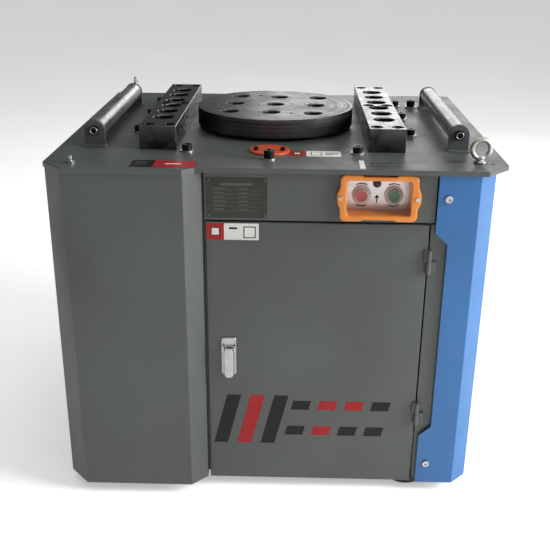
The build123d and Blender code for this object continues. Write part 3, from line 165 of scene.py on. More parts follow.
def makePiece(name, grids, materials, body, replaced=(), smoothAngle=35.0):
    # grids: (points[rows, columns, 3] in mm, closeRows, closeColumns, material number)
    corners, faces, numbers, start = [], [], [], 0
    for points, closeRows, closeColumns, number in grids:
        rows, columns = points.shape[:2]
        corners.append(points.reshape(-1, 3) * mm)
        quads = gridFaces(rows, columns, closeRows, closeColumns)
        faces.append(quads + start)
        numbers.append(np.full(len(quads), number))
        start += rows * columns
    mesh = bpy.data.meshes.new(name)
    mesh.from_pydata(np.concatenate(corners).tolist(), [], np.concatenate(faces).tolist())
    for material in materials:
        mesh.materials.append(material)
    mesh.polygons.foreach_set("material_index", np.concatenate(numbers).astype(np.int32))
    shape = bmesh.new()
    shape.from_mesh(mesh)
    bmesh.ops.remove_doubles(shape, verts=shape.verts, dist=1e-6)
    bmesh.ops.dissolve_degenerate(shape, edges=shape.edges, dist=1e-7)
    bmesh.ops.recalc_face_normals(shape, faces=shape.faces)
    for face in shape.faces:
        face.smooth = True
    for edge in shape.edges:
        edge.smooth = len(edge.link_faces) == 2 and edge.calc_face_angle(0.0) < radians(smoothAngle)
    shape.to_mesh(mesh)
    shape.free()
    piece = bpy.data.objects.new(name, mesh)
    bpy.context.scene.collection.objects.link(piece)
    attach(piece, body)
    if replaced:
        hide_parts(*replaced)
    return piece


def roundedOutline(width, height, radius, perCorner=8):
    # four quarter circles of that radius whose centres are the inset corners of a width x height box
    angles = np.linspace(0, pi / 2, perCorner)
    cx, cy = width / 2 - radius, height / 2 - radius
    turns = [angles + k * pi / 2 for k in range(4)]
    centres = [(cx, cy), (-cx, cy), (-cx, -cy), (cx, -cy)]
    return np.concatenate([np.stack([x + radius * np.cos(t), y + radius * np.sin(t)], 1)
                           for t, (x, y) in zip(turns, centres)])


def plateGrid(outline, rings, origin, across, up, out, number=0):
    # rings of an outline drawn in towards its middle: point = origin + scale * outline + height * out
    origin, across, up, out = (np.array(v, float) for v in (origin, across, up, out))
    half = np.abs(outline).max(0)
    layers = []
    for inset, height in rings:
        scale = np.zeros(2) if inset is None else (half - inset) / half
        flat = outline * scale
        layers.append(origin + flat[:, :1] * across + flat[:, 1:] * up + height * out)
    return np.stack(layers), False, True, number


def latheGrid(profile, origin, axis, side, count=64, number=0, closed=False):
    # each (radius, height) of the profile turned once round the axis
    axis, side = np.array(axis, float), np.array(side, float)
    other = np.cross(axis, side)
    turn = np.linspace(0, 2 * pi, count, endpoint=False)
    ring = np.cos(turn)[:, None] * side + np.sin(turn)[:, None] * other
    radius, height = np.array(profile, float).T
    points = np.array(origin) + radius[:, None, None] * ring + height[:, None, None] * axis
    return points, closed, True, number


def filletedPath(corners, radius, steps=7):
    # straight runs joined by tangent arcs: tangent length = radius * tan(half the turn)
    corners = np.array(corners, float)
    path = [corners[0]]
    for a, b, c in zip(corners, corners[1:], corners[2:]):
        into, away = (b - a) / np.linalg.norm(b - a), (c - b) / np.linalg.norm(c - b)
        turn = np.arccos(np.clip(into @ away, -1, 1))
        reach = min(radius * np.tan(turn / 2), 0.45 * min(np.linalg.norm(b - a), np.linalg.norm(c - b)))
        middle = (away - into) / np.linalg.norm(away - into)
        bend = reach / np.tan(turn / 2)
        centre = b + middle * (bend / cos(turn / 2))
        start, end = b - into * reach - centre, b + away * reach - centre
        t = np.linspace(0, 1, steps)[:, None]
        arc = (np.sin((1 - t) * turn) * start + np.sin(t * turn) * end) / np.sin(turn)
        path += list(centre + arc)
    path.append(corners[-1])
    return np.array(path)


def boxMm(node):
    low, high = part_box(node)
    return np.array(low) / mm, np.array(high) / mm


xAxis, yAxis, zAxis = np.eye(3)
tableTop = boxMm("table_top")[1][2]
discLow, discHigh = boxMm("work_disc")
discAxis = (discLow + discHigh) / 2


# materials

def feed(shader, **links):
    # links computed values to the shader's sockets: baseColor goes to Base Color
    names = {"baseColor": "Base Color", "roughness": "Roughness", "normal": "Normal", "metallic": "Metallic"}
    for key, value in links.items():
        shader.id_data.links.new(value, shader.inputs[names[key]])


def bumpy(add, height, depthMm, strength, edgeMm=None):
    # relief, over the tiny round that every real edge has, which is read where the mesh is sharp
    relief = {"Height": height, "Distance": depthMm * mm, "Strength": strength}
    if edgeMm:
        relief["Normal"] = add("Bevel", {"Radius": edgeMm * mm}, samples=6)
    return add("Bump", relief)


def scratches(add, place, lengthMm, widthMm, along, amount, seed):
    # noise drawn out along one axis and cut high, so that only hairlines are left
    stretch = [1.0, 1.0, 1.0]
    stretch[along] = widthMm / lengthMm
    lines = mottle(add, place, widthMm, 2.0, tuple(stretch), seed)
    return add("MapRange", [lines, 0.78 - amount, 0.84 - amount])


def enamel(name, look):
    # sprayed enamel on folded sheet steel: satin gloss, fine orange peel, hand-rubbed clouds,
    # a few pale hairlines and dust that thickens towards the floor
    material, shader, add, place, tint = newMaterial(name, look, IOR=1.5)
    cloud = add("MapRange", [mottle(add, place, 210, 5.0), 0.35, 0.68])
    colour = add("Mix", {0: cloud, 6: tint["deep"], 7: tint["colour"]}, **colourMix)
    low = add("MapRange", [add("SeparateXYZ", [place], "Z"), 0.30, 0.02])
    speck = add("MapRange", [mottle(add, place, 4, 9.0, (1, 1, 1), 3.0), 0.52, 0.78])
    settled = add("Math", [low, 0.10, look["dust"]], operation="MULTIPLY_ADD")
    dust = add("Math", [speck, settled], operation="MULTIPLY")
    colour = add("Mix", {0: dust, 6: colour, 7: tint["dustColour"]}, **colourMix)
    hair = scratches(add, place, 60, 0.7, 0, look["scratched"], 7.0)
    hairUp = scratches(add, place, 45, 0.6, 2, look["scratched"], 1.0)
    worn = add("Math", [add("Math", [hair, hairUp], operation="MAXIMUM"), 0.30], operation="MULTIPLY")
    colour = add("Mix", {0: worn, 6: colour, 7: tint["bare"]}, **colourMix)
    smear = mottle(add, place, 70, 4.0, (1.0, 1.0, 0.35), 11.0)
    rough = add("MapRange", [smear, 0.3, 0.7, look["roughness"] - 0.06, look["roughness"] + 0.09])
    rough = add("Math", [dust, 0.25, rough], operation="MULTIPLY_ADD")
    peel = add("Math", [speck, 0.15, mottle(add, place, 2.4, 2.0)], operation="MULTIPLY_ADD")
    feed(shader, baseColor=colour, roughness=rough, normal=bumpy(add, peel, 0.05, 0.35, 0.7))
    return material


def machined(name, look):
    # bare steel after the tool: fine lines along the cut, broad tarnish, oil smears that darken it
    material, shader, add, place, tint = newMaterial(name, look, Metallic=1.0)
    fine = mottle(add, place, look["line"], 2.0, look["grain"], 2.0)
    broad = mottle(add, place, look["line"] * 6, 3.0, look["grain"], 5.0)
    broad = add("Math", [broad, 0.4], operation="MULTIPLY")
    lines = add("Math", [fine, 0.6, broad], operation="MULTIPLY_ADD")
    tarnish = add("MapRange", [mottle(add, place, 55, 6.0), 0.36, 0.66])
    colour = add("Mix", {0: tarnish, 6: tint["colour"], 7: tint["tarnish"]}, **colourMix)
    oil = add("MapRange", [mottle(add, place, 24, 5.0, (1, 1, 1), 9.0), 0.52, 0.66])
    oily = add("Math", [oil, look["oil"]], operation="MULTIPLY")
    colour = add("Mix", {0: oily, 6: colour, 7: tint["oilColour"]}, **colourMix)
    rough = add("MapRange", [lines, 0.3, 0.7, look["roughness"] - 0.07, look["roughness"] + 0.09])
    rough = add("Math", [oil, -0.10, rough], operation="MULTIPLY_ADD")
    feed(shader, baseColor=colour, roughness=rough,
         normal=bumpy(add, lines, look["line"] * 0.02, 0.30, look["edge"]))
    return material


def turned(name, look):
    # steel faced in a lathe: grooves follow radius on the face and height on the rim, so both are read
    # from radius + height; pins have scuffed the face bright in places
    material, shader, add, place, tint = newMaterial(name, look, Metallic=1.0)
    fromAxis = add("VectorMath", [place, tuple(discAxis * mm)], operation="SUBTRACT")
    parts = add("SeparateXYZ", [fromAxis]).node.outputs
    flat = add("CombineXYZ", [parts["X"], parts["Y"]])
    radius = add("VectorMath", [flat], "Value", operation="LENGTH")
    tool = add("Math", [radius, parts["Z"]], operation="ADD")
    fine, bands = [
        add("TexNoise", {"W": tool, "Scale": perMetre(size), "Detail": detail}, noise_dimensions="1D")
        for size, detail in ((look["feed"], 2.0), (look["band"], 3.0))
    ]
    banded = add("MapRange", [bands, 0.36, 0.64])
    stain = add("MapRange", [mottle(add, place, 42, 6.0), 0.40, 0.66])
    colour = add("Mix", {0: banded, 6: tint["colour"], 7: tint["bright"]}, **colourMix)
    stained = add("Math", [stain, 0.55], operation="MULTIPLY")
    colour = add("Mix", {0: stained, 6: colour, 7: tint["stain"]}, **colourMix)
    scuff = add("Math", [scratches(add, place, 26, 0.9, 0, 0.10, 4.0), 0.4], operation="MULTIPLY")
    colour = add("Mix", {0: scuff, 6: colour, 7: tint["scuff"]}, **colourMix)
    rough = add("MapRange", [banded, 0.0, 1.0, look["roughness"] + 0.08, look["roughness"] - 0.05])
    rough = add("Math", [stain, 0.08, rough], operation="MULTIPLY_ADD")
    grooves = add("Math", [bands, 1.6, fine], operation="MULTIPLY_ADD")
    feed(shader, baseColor=colour, roughness=rough, normal=bumpy(add, grooves, 0.06, 0.40, 0.5))
    return material


def plated(name, look):
    # bright plating on forged or pressed steel: cloudy crystal bloom and yellowed patches
    material, shader, add, place, tint = newMaterial(name, look, Metallic=1.0)
    bloom = mottle(add, place, 3.0, 6.0)
    patch = add("MapRange", [mottle(add, place, 17, 4.0), 0.42, 0.66])
    colour = add("Mix", {0: patch, 6: tint["colour"], 7: tint["patch"]}, **colourMix)
    rough = add("MapRange", [bloom, 0.3, 0.7, look["roughness"] - 0.06, look["roughness"] + 0.12])
    feed(shader, baseColor=colour, roughness=rough, normal=bumpy(add, bloom, 0.04, 0.35, look["edge"]))
    return material


def moulded(name, look):
    # injection-moulded plastic: even colour, spark-eroded grain, faint flow streaks, hand grease
    material, shader, add, place, tint = newMaterial(name, look, IOR=1.49)
    flow = add("MapRange", [mottle(add, place, 30, 3.0, (1, 1, 0.3), 2.0), 0.35, 0.65])
    colour = add("Mix", {0: flow, 6: tint["colour"], 7: tint["shade"]}, **colourMix)
    grease = add("MapRange", [mottle(add, place, 15, 4.0), 0.45, 0.68])
    rough = add("MapRange", [grease, 0, 1, look["roughness"], look["roughness"] + 0.14])
    grain = mottle(add, place, look["grain"], 2.0)
    feed(shader, baseColor=colour, roughness=rough,
         normal=bumpy(add, grain, look["grain"] * 0.05, 0.30, look["edge"]))
    return material


def castFinish(name, look):
    # sand-cast iron or die-cast alloy under one coat of paint: pebbled skin, chips down to the metal
    material, shader, add, place, tint = newMaterial(name, look, IOR=1.5)
    sand = mottle(add, place, 2.2, 6.0)
    chip = add("MapRange", [mottle(add, place, 14, 7.0), 0.68, 0.72])
    cloud = add("MapRange", [mottle(add, place, 80, 4.0), 0.35, 0.65])
    colour = add("Mix", {0: cloud, 6: tint["colour"], 7: tint["shade"]}, **colourMix)
    colour = add("Mix", {0: chip, 6: colour, 7: tint["chip"]}, **colourMix)
    rough = add("MapRange", [sand, 0.3, 0.7, look["roughness"] - 0.08, look["roughness"] + 0.12])
    lumps = add("Math", [chip, -0.6, sand], operation="MULTIPLY_ADD")
    metallic = add("Math", [chip, 0.8], operation="MULTIPLY")
    feed(shader, baseColor=colour, roughness=rough, metallic=metallic,
         normal=bumpy(add, lumps, 0.25, 0.45, 1.2))
    return material


def rubber(name, look):
    # vulcanised rubber: matt black, grey bloom and trodden-in dust
    material, shader, add, place, tint = newMaterial(name, look, IOR=1.52)
    bloom = add("MapRange", [mottle(add, place, 12, 6.0), 0.40, 0.70])
    dusty = add("Math", [bloom, look["bloom"]], operation="MULTIPLY")
    colour = add("Mix", {0: dusty, 6: tint["colour"], 7: tint["dustColour"]}, **colourMix)
    rough = add("MapRange", [bloom, 0, 1, 0.62, 0.85])
    pores = mottle(add, place, 0.8, 3.0)
    feed(shader, baseColor=colour, roughness=rough, normal=bumpy(add, pores, 0.08, 0.4))
    return material


def printed(name, look):
    # screen-printed vinyl or foil: flat ink, faded in clouds, with rubbed specks
    material, shader, add, place, tint = newMaterial(name, look, IOR=1.3)
    rub = add("MapRange", [mottle(add, place, 2.6, 7.0), 0.66, 0.72])
    fade = add("MapRange", [mottle(add, place, 40, 3.0), 0.3, 0.7])
    colour = add("Mix", {0: fade, 6: tint["colour"], 7: tint["fade"]}, **colourMix)
    rubbed = add("Math", [rub, look["rub"]], operation="MULTIPLY")
    colour = add("Mix", {0: rubbed, 6: colour, 7: tint["under"]}, **colourMix)
    rough = add("MapRange", [fade, 0, 1, 0.30, 0.44])
    ripple = mottle(add, place, 11, 2.0)
    feed(shader, baseColor=colour, roughness=rough, normal=bumpy(add, ripple, 0.10, 0.25))
    return material


looks = {
    "greyEnamel": {"colour": "#444947", "deep": "#3D4140", "dust": 0.05, "dustColour": "#8C877B",
                   "scratched": 0.05, "bare": "#8F918C", "roughness": 0.42},
    "blueEnamel": {"colour": "#1C5D97", "deep": "#19558D", "dust": 0.04, "dustColour": "#8FA3B2",
                   "scratched": 0.05, "bare": "#A9C2D6", "roughness": 0.38},
    "darkEnamel": {"colour": "#2A2B2A", "deep": "#222323", "dust": 0.12, "dustColour": "#6E6A60",
                   "scratched": 0.05, "bare": "#5B5C5A", "roughness": 0.42},
    "orangeRedEnamel": {"colour": "#B5421F", "deep": "#A33818", "dust": 0.10, "dustColour": "#7C5B4A",
                        "scratched": 0.08, "bare": "#8C837C", "roughness": 0.36},
    "motorEnamel": {"colour": "#3E5B74", "deep": "#344E66", "dust": 0.15, "dustColour": "#857F72",
                    "scratched": 0.06, "bare": "#8B9499", "roughness": 0.40},
    "groundSteel": {"colour": "#5A5B5D", "tarnish": "#3E3E40", "oil": 0.55, "oilColour": "#211F1D",
                    "line": 0.9, "grain": (1.0, 0.03, 1.0), "roughness": 0.27, "edge": 0.8},
    "polishedSteel": {"colour": "#A4A5A6", "tarnish": "#8A8A8B", "oil": 0.35, "oilColour": "#5E5A54",
                      "line": 0.7, "grain": (0.04, 1.0, 0.04), "roughness": 0.35, "edge": 0.4},
    "gearSteel": {"colour": "#8A8A8C", "tarnish": "#6C6B6A", "oil": 0.7, "oilColour": "#3D3527",
                  "line": 0.8, "grain": (1.0, 1.0, 0.1), "roughness": 0.28, "edge": 0.3},
    "discSteel": {"colour": "#454547", "bright": "#626265", "stain": "#3A393B", "scuff": "#96969A",
                  "feed": 0.8, "band": 7.0, "roughness": 0.33},
    "zinc": {"colour": "#B7B9BC", "patch": "#A8A596", "roughness": 0.30, "edge": 0.5},
    "satinSteel": {"colour": "#D8CFCD", "patch": "#CDC3C0", "roughness": 0.36, "edge": 0.3},
    "lockChrome": {"colour": "#A9ABAC", "patch": "#9FA1A2", "roughness": 0.26, "edge": 0.6},
    "blackOxide": {"colour": "#262628", "patch": "#302F2E", "roughness": 0.36, "edge": 0.5},
    "orangePlastic": {"colour": "#CC7A2C", "shade": "#C27228", "roughness": 0.30, "grain": 0.6, "edge": 0.4},
    "redPlastic": {"colour": "#A0484C", "shade": "#944045", "roughness": 0.26, "grain": 0.5, "edge": 0.3},
    "greenPlastic": {"colour": "#46705A", "shade": "#3E6651", "roughness": 0.26, "grain": 0.5, "edge": 0.3},
    "clearPlastic": {"colour": "#C9C6C2", "shade": "#BDBAB6", "roughness": 0.16, "grain": 0.6, "edge": 0.3},
    "blackPlastic": {"colour": "#1B1B1C", "shade": "#222223", "roughness": 0.36, "grain": 0.7, "edge": 0.4},
    "castPaint": {"colour": "#4F5A55", "shade": "#434D49", "chip": "#6A6A6A", "roughness": 0.5},
    "tyreRubber": {"colour": "#1A1A1A", "dustColour": "#5E5A52", "bloom": 0.5},
    "beltRubber": {"colour": "#202020", "dustColour": "#3E3C38", "bloom": 0.35},
    "redInk": {"colour": "#931A1E", "fade": "#88181D", "under": "#C9A9A4", "rub": 0.35},
    "whiteInk": {"colour": "#C9C8C4", "fade": "#BDBBB6", "under": "#7E7C78", "rub": 0.45},
    "blackInk": {"colour": "#0E0E0F", "fade": "#141415", "under": "#55554F", "rub": 0.30},
    "plateInk": {"colour": "#2F3029", "fade": "#34352E", "under": "#5E5F54", "rub": 0.40},
    "paleInk": {"colour": "#505148", "fade": "#4A4B42", "under": "#35362F", "rub": 0.50},
}
made = {}
for name, maker in {
    "greyEnamel": enamel, "blueEnamel": enamel, "darkEnamel": enamel, "orangeRedEnamel": enamel,
    "motorEnamel": enamel, "groundSteel": machined, "polishedSteel": machined, "gearSteel": machined,
    "discSteel": turned, "zinc": plated, "satinSteel": plated, "lockChrome": plated, "blackOxide": plated,
    "orangePlastic": moulded, "redPlastic": moulded, "greenPlastic": moulded, "clearPlastic": moulded,
    "blackPlastic": moulded,
    "castPaint": castFinish, "tyreRubber": rubber, "beltRubber": rubber, "redInk": printed,
    "whiteInk": printed, "blackInk": printed, "plateInk": printed, "paleInk": printed,
}.items():
    made[name] = maker(name, looks[name])

slotFinish = {
    "grey_paint": "greyEnamel", "blue_paint": "blueEnamel", "dark_frame": "darkEnamel",
    "ground_steel": "groundSteel", "polished_steel": "polishedSteel", "zinc": "zinc",
    "black_oxide": "blackOxide", "stainless": "satinSteel", "orange_plastic": "orangePlastic",
    "orange_red_paint": "orangeRedEnamel", "red_plastic": "redPlastic", "green_plastic": "greenPlastic",
    "black_plastic": "blackPlastic", "wheel_rubber": "tyreRubber", "belt_rubber": "beltRubber",
    "cast_iron": "castPaint", "gear_steel": "gearSteel", "motor_paint": "motorEnamel",
}
ownFinish = {"work_disc": "discSteel", "main_shaft": "discSteel", "lock_plate": "lockChrome",
             "lock_lever": "lockChrome", "lock_cam": "lockChrome", "door_frame": "greyEnamel"}
for row in frame["record"]["subparts"]:
    name = row["node"]
    mesh = nodes[name].data
    mesh.materials.clear()
    mesh.materials.append(made[ownFinish.get(name, slotFinish[row["material_slot"]])])
print("materials:", len(made))


# folded covers

def shellGrids(outer, inner, number=0):
    # two surfaces a sheet apart, closed by a strip along each of the four rims
    rims = [np.stack([outer[0], inner[0]]), np.stack([outer[-1], inner[-1]]),
            np.stack([outer[:, 0], inner[:, 0]]), np.stack([outer[:, -1], inner[:, -1]])]
    return [(points, False, False, number) for points in [outer, inner] + rims]


def offsetPath(path, distance):
    # each point moved along the mitre of its two neighbours' normals: p + n * distance / cos(half the turn)
    along = np.diff(path, axis=0)
    along /= np.linalg.norm(along, axis=1)[:, None]
    before, after = np.vstack([along[:1], along]), np.vstack([along, along[-1:]])
    mitre = before + after
    mitre /= np.linalg.norm(mitre, axis=1)[:, None]
    normal = np.stack([-mitre[:, 1], mitre[:, 0]], 1)
    return path + normal * (distance / (mitre * before).sum(1))[:, None]


def uprightSheet(plan, heights, thickness):
    # plan (x, y) points carried up through the heights, with a second skin one sheet inside
    layout = (len(heights), len(plan), 2)
    skins = [np.broadcast_to(line[None], layout) for line in (plan, offsetPath(plan, thickness))]
    levels = np.broadcast_to(np.array(heights, float)[:, None, None], (len(heights), len(plan), 1))
    return [np.concatenate([skin, levels], 2) for skin in skins]


def easeEdges(piece, widthMm, angle=50):
    # a small bevel on the sharp edges only
    bevel = piece.modifiers.new("edges", "BEVEL")
    bevel.width, bevel.segments = widthMm * mm, 2
    bevel.limit_method, bevel.angle_limit = "ANGLE", radians(angle)
    bevel.harden_normals = False


covers = {
    "sheet": 2.0, "foldRadius": 3.5,
    "bayCut": (44.0, 49.0), "bayReturn": 32.5,     # left cover: cut corner, slanted end beside the door
    "blueCut": 34.0, "notch": (25.0, 23.0), "notchTop": 117.0, "notchBottom": 118.5,
}
low, high = boxMm("left_cover")
cutX, cutY = covers["bayCut"]
slant = covers["bayReturn"]
bayPlan = filletedPath([
    (low[0], high[1]), (low[0], low[1] + cutY), (low[0] + cutX, low[1]),
    (high[0] - slant, low[1]), (high[0], low[1] + slant), (high[0], low[1] + slant + 12.5),
], covers["foldRadius"])
outer, inner = uprightSheet(bayPlan, [low[2], high[2]], covers["sheet"])
leftCover = makePiece("leftCoverSheet", shellGrids(outer, inner), [made["greyEnamel"]], "frame",
                      ["left_cover"])
easeEdges(leftCover, 0.5)

low, high = boxMm("right_cover")
cut, (notchIn, notchRise) = covers["blueCut"], covers["notch"]
bluePlan = filletedPath([
    (low[0], low[1]), (high[0] - cut, low[1]), (high[0], low[1] + cut), (high[0], high[1]),
], covers["foldRadius"])
notchLow, notchHigh = low[2] + covers["notchBottom"], high[2] - covers["notchTop"]
heights = [low[2], notchLow, notchLow + notchRise, notchHigh - notchRise, notchHigh, high[2]]
outer, inner = uprightSheet(bluePlan, heights, covers["sheet"])
for skin in (outer, inner):
    skin[2:4, 0, 0] += notchIn
rightCover = makePiece("rightCoverSheet", shellGrids(outer, inner), [made["blueEnamel"]], "frame",
                       ["right_cover"])
easeEdges(rightCover, 0.5)
print("covers folded")


# door

def ringsBetween(outline, target, steps):
    # straight blends from one loop of points to another
    t = np.linspace(0, 1, steps)[:, None, None]
    return (1 - t) * outline + t * target


def inFrame(flat, depth, origin, across, up, out):
    # loops of (across, up) points at a depth along out, set in space
    return origin + flat[..., :1] * across + flat[..., 1:] * up + depth * out


doorLook = {"fold": 2.4, "sheet": 2.0, "corner": 1.2, "lockHole": 14.1, "lockHeight": 342.0, "rings": 5}
low, high = boxMm("front_door")
middle = (low + high) / 2
frontOrigin = np.array([middle[0], low[1], middle[2]])
toward = -yAxis
plateLow, plateHigh = boxMm("lock_plate")
lockX = (plateLow[0] + plateHigh[0]) / 2


def doorSkin(inset, depth):
    # the pan's outline drawn in by inset: full size at the back rim
    outline = roundedOutline(high[0] - low[0] - 2 * inset, high[2] - low[2] - 2 * inset,
                             max(doorLook["corner"] - inset, 0.4) + inset * 0.4, 6)
    return inFrame(outline, depth, frontOrigin, xAxis, zAxis, toward)


bend = np.linspace(0, pi / 2, 6)
panDepth, fold, sheet = high[1] - low[1], doorLook["fold"], doorLook["sheet"]
outside = [doorSkin(0, -panDepth)] + [doorSkin(fold * (1 - cos(t)), -fold * (1 - sin(t))) for t in bend]
inside = [doorSkin(sheet, -panDepth)] + [
    doorSkin(sheet + (fold - sheet) * (1 - cos(t)), -sheet - (fold - sheet) * (1 - sin(t))) for t in bend]
holeCentre = np.array([lockX, low[1], doorLook["lockHeight"]])
skins = []
for loops, depth in ((outside, 0.0), (inside, sheet)):
    centre = holeCentre + depth * yAxis
    toHole = loops[-1] - centre
    rim = centre + toHole / np.linalg.norm(toHole, axis=1)[:, None] * doorLook["lockHole"] / 2
    skins.append(np.concatenate([np.stack(loops), ringsBetween(loops[-1], rim, doorLook["rings"])[1:]]))
doorPan = np.concatenate([skins[0], skins[1][::-1]])
makePiece("doorPan", [(doorPan, True, True, 0)], [made["greyEnamel"]], "door", ["front_door"])
print("door pan made")

# the lock: a pressed plate with a raised rim, and a handle that is rounded all over
lockLook = {"plateCorner": 5.0, "rim": 2.6, "sunk": 0.8, "leverCorner": 9.4, "round": 2.2}
plateMiddle, plateSize = (plateLow + plateHigh) / 2, plateHigh - plateLow
deep, rim, sunk = plateSize[1], lockLook["rim"], lockLook["sunk"]
plateOutline = roundedOutline(plateSize[0], plateSize[2], lockLook["plateCorner"], 8)
plateRings = [(None, 0.0), (0.0, 0.0), (0.0, deep - 1.0), (0.4, deep - 0.3), (1.1, deep), (rim, deep),
              (rim + 0.6, deep - sunk), (None, deep - sunk)]
plateAt = (plateMiddle[0], plateHigh[1], plateMiddle[2])
pressedPlate = plateGrid(plateOutline, plateRings, plateAt, xAxis, zAxis, toward)
makePiece("lockPlateRim", [pressedPlate], [made["lockChrome"]], "door", ["lock_plate"])
leverLow, leverHigh = boxMm("lock_lever")
leverMiddle, leverSize = (leverLow + leverHigh) / 2, leverHigh - leverLow
soft, deep = lockLook["round"], leverSize[1]
quarter = [(soft * (1 - sin(t)), soft * (1 - cos(t))) for t in np.linspace(0, pi / 2, 6)]
leverRings = [(None, 0.0)] + quarter + [(i, deep - h) for i, h in quarter[::-1]] + [(None, deep)]
leverOutline = roundedOutline(leverSize[0], leverSize[2], lockLook["leverCorner"], 10)
leverAt = (leverMiddle[0], leverHigh[1], leverMiddle[2])
roundedLever = plateGrid(leverOutline, leverRings, leverAt, xAxis, zAxis, toward)
makePiece("lockLeverGrip", [roundedLever], [made["lockChrome"]], "lock_lever", ["lock_lever"])


def tubeGrid(path, radii, count=20, closed=True, number=0):
    # circles carried along a path, each in the plane that the path crosses squarely
    path = np.array(path, float)
    ahead = np.roll(path, -1, 0) - np.roll(path, 1, 0)
    if not closed:
        ahead[0], ahead[-1] = path[1] - path[0], path[-1] - path[-2]
    ahead /= np.linalg.norm(ahead, axis=1)[:, None]
    flatNormal = np.cross(path[1] - path[0], path[len(path) // 3] - path[0])
    flatNormal /= np.linalg.norm(flatNormal)
    side = np.cross(ahead, flatNormal)
    turn = np.linspace(0, 2 * pi, count, endpoint=False)[None, :, None]
    radii = np.broadcast_to(np.array(radii, float), len(path))[:, None, None]
    points = path[:, None] + radii * (np.cos(turn) * side[:, None] + np.sin(turn) * flatNormal)
    return points, closed, True, number


# control shroud

shroudLook = {"width": 149.0, "height": 92.0, "corner": 11.0, "proud": 10.0, "open": (123.0, 69.0),
              "openCorner": 6.0, "wall": 4.0, "slack": 0.1, "ear": 5.8, "earHalf": 25.0, "dip": 3.0,
              "dipHalf": 33.0, "lip": 2.2}
shroudLow, shroudHigh = boxMm("control_shroud")
shroudMiddle = (shroudLow + shroudHigh) / 2
shroudOrigin = np.array([shroudMiddle[0], shroudLow[1] + shroudLook["proud"], shroudMiddle[2]])


def evenOutline(width, height, radius, count=360):
    # a rounded box walked at an even pace, starting at the middle of its right side
    dense = roundedOutline(width, height, radius, 60)
    loop = np.vstack([dense, dense[:1]])
    walked = np.concatenate([[0], np.cumsum(np.linalg.norm(np.diff(loop, axis=0), axis=1))])
    at = np.linspace(0, walked[-1], count, endpoint=False)
    return np.stack([np.interp(at, walked, loop[:, k]) for k in (0, 1)], 1)


def shroudOutline(inset):
    # the flange: a rounded box with an ear swelling out of each side by ear * (3 s^2 - 2 s^3), and a
    # shallow dip of the same shape along top and bottom
    look = shroudLook
    points = evenOutline(look["width"] - 2 * inset, look["height"] - 2 * inset, look["corner"] - inset * 0.5)
    x, z = points.T
    swell = np.clip((look["earHalf"] - np.abs(z)) / (look["earHalf"] - 5), 0, 1)
    onSide = np.abs(x) > look["width"] / 2 - inset - 0.5
    x = np.where(onSide, x + np.sign(x) * look["ear"] * swell * swell * (3 - 2 * swell), x)
    sag = np.clip((look["dipHalf"] + 3 - np.abs(x)) / 6, 0, 1)
    onTop = np.abs(z) > look["height"] / 2 - inset - 0.5
    z = np.where(onTop, z - np.sign(z) * look["dip"] * sag * sag * (3 - 2 * sag), z)
    return np.stack([x, z], 1)


openWide, openHigh = shroudLook["open"]
walls = 2 * shroudLook["wall"] - 2 * shroudLook["slack"]
opening = evenOutline(openWide, openHigh, shroudLook["openCorner"])
tube = evenOutline(openWide + walls, openHigh + walls, 1.0)
backDepth = shroudHigh[1] - shroudOrigin[1]
proud, lip = shroudLook["proud"], shroudLook["lip"]
loops = [(tube, -backDepth), (tube, 0.0), (shroudOutline(0.0), 0.0), (shroudOutline(0.0), proud - lip)]
loops += [(shroudOutline(lip * (1 - cos(t))), proud - lip * (1 - sin(t))) for t in bend[1:]]
for t in bend:
    wider = lip * (1 - sin(t))
    mouth = evenOutline(openWide + 2 * wider, openHigh + 2 * wider, shroudLook["openCorner"] + wider)
    loops.append((mouth, proud - lip * (1 - cos(t))))
loops += [(opening, 0.0), (opening, -backDepth)]
shroudGrid = np.stack([inFrame(line, depth, shroudOrigin, xAxis, zAxis, toward) for line, depth in loops])
makePiece("shroudMoulding", [(shroudGrid, True, True, 0)], [made["orangePlastic"]], "frame",
          ["control_shroud"], 40)


# buttons, bezels, lamp

def dishedCap(radius, depth, rise, sunk, edge):
    # a push button's cap: flat rim with a rounded edge, then a shallow dish sunk * (1 - (r / rim)^2)
    rim = radius - edge
    corner = [(rim + edge * sin(t), rise - edge * (1 - cos(t))) for t in np.linspace(0, pi / 2, 6)]
    dish = [(r, rise - sunk * (1 - (r / (rim - 0.6)) ** 2)) for r in np.linspace(0, rim - 0.6, 9)]
    return dish + corner + [(radius, rise - depth)]


buttonLook = {"edge": 1.1, "dish": 0.7, "face": 11.3, "stem": 5.0, "cap": 7.0, "groove": 0.4}
for node, ink, slotName in (("red_button", "redPlastic", "red_plastic"),
                            ("green_button", "greenPlastic", "green_plastic")):
    low, high = boxMm(node)
    centre, radius, deep = (low + high) / 2, (high[0] - low[0]) / 2, high[1] - low[1]
    at = (centre[0], low[1], centre[2])
    look = buttonLook
    face = dishedCap(look["face"], look["groove"] + 0.4, -0.2, look["dish"], 0.8)
    # the clear skirt round the coloured face: groove, rounded edge, wall, back and stem
    skirt = [(look["face"], -0.6), (look["face"] + 0.4, -look["groove"]), (radius - look["edge"], 0.0)]
    skirt += [(radius - look["edge"] * (1 - sin(t)), -look["edge"] * (1 - cos(t))) for t in bend[1:]]
    skirt += [(radius, -look["cap"]), (look["stem"], -look["cap"]), (look["stem"], -deep), (0.0, -deep)]
    lathes = [latheGrid(face, at, toward, xAxis, 72), latheGrid(skirt, at, toward, xAxis, 72, 1)]
    makePiece(node + "Cap", lathes, [made[ink], made["clearPlastic"]], node, [node])

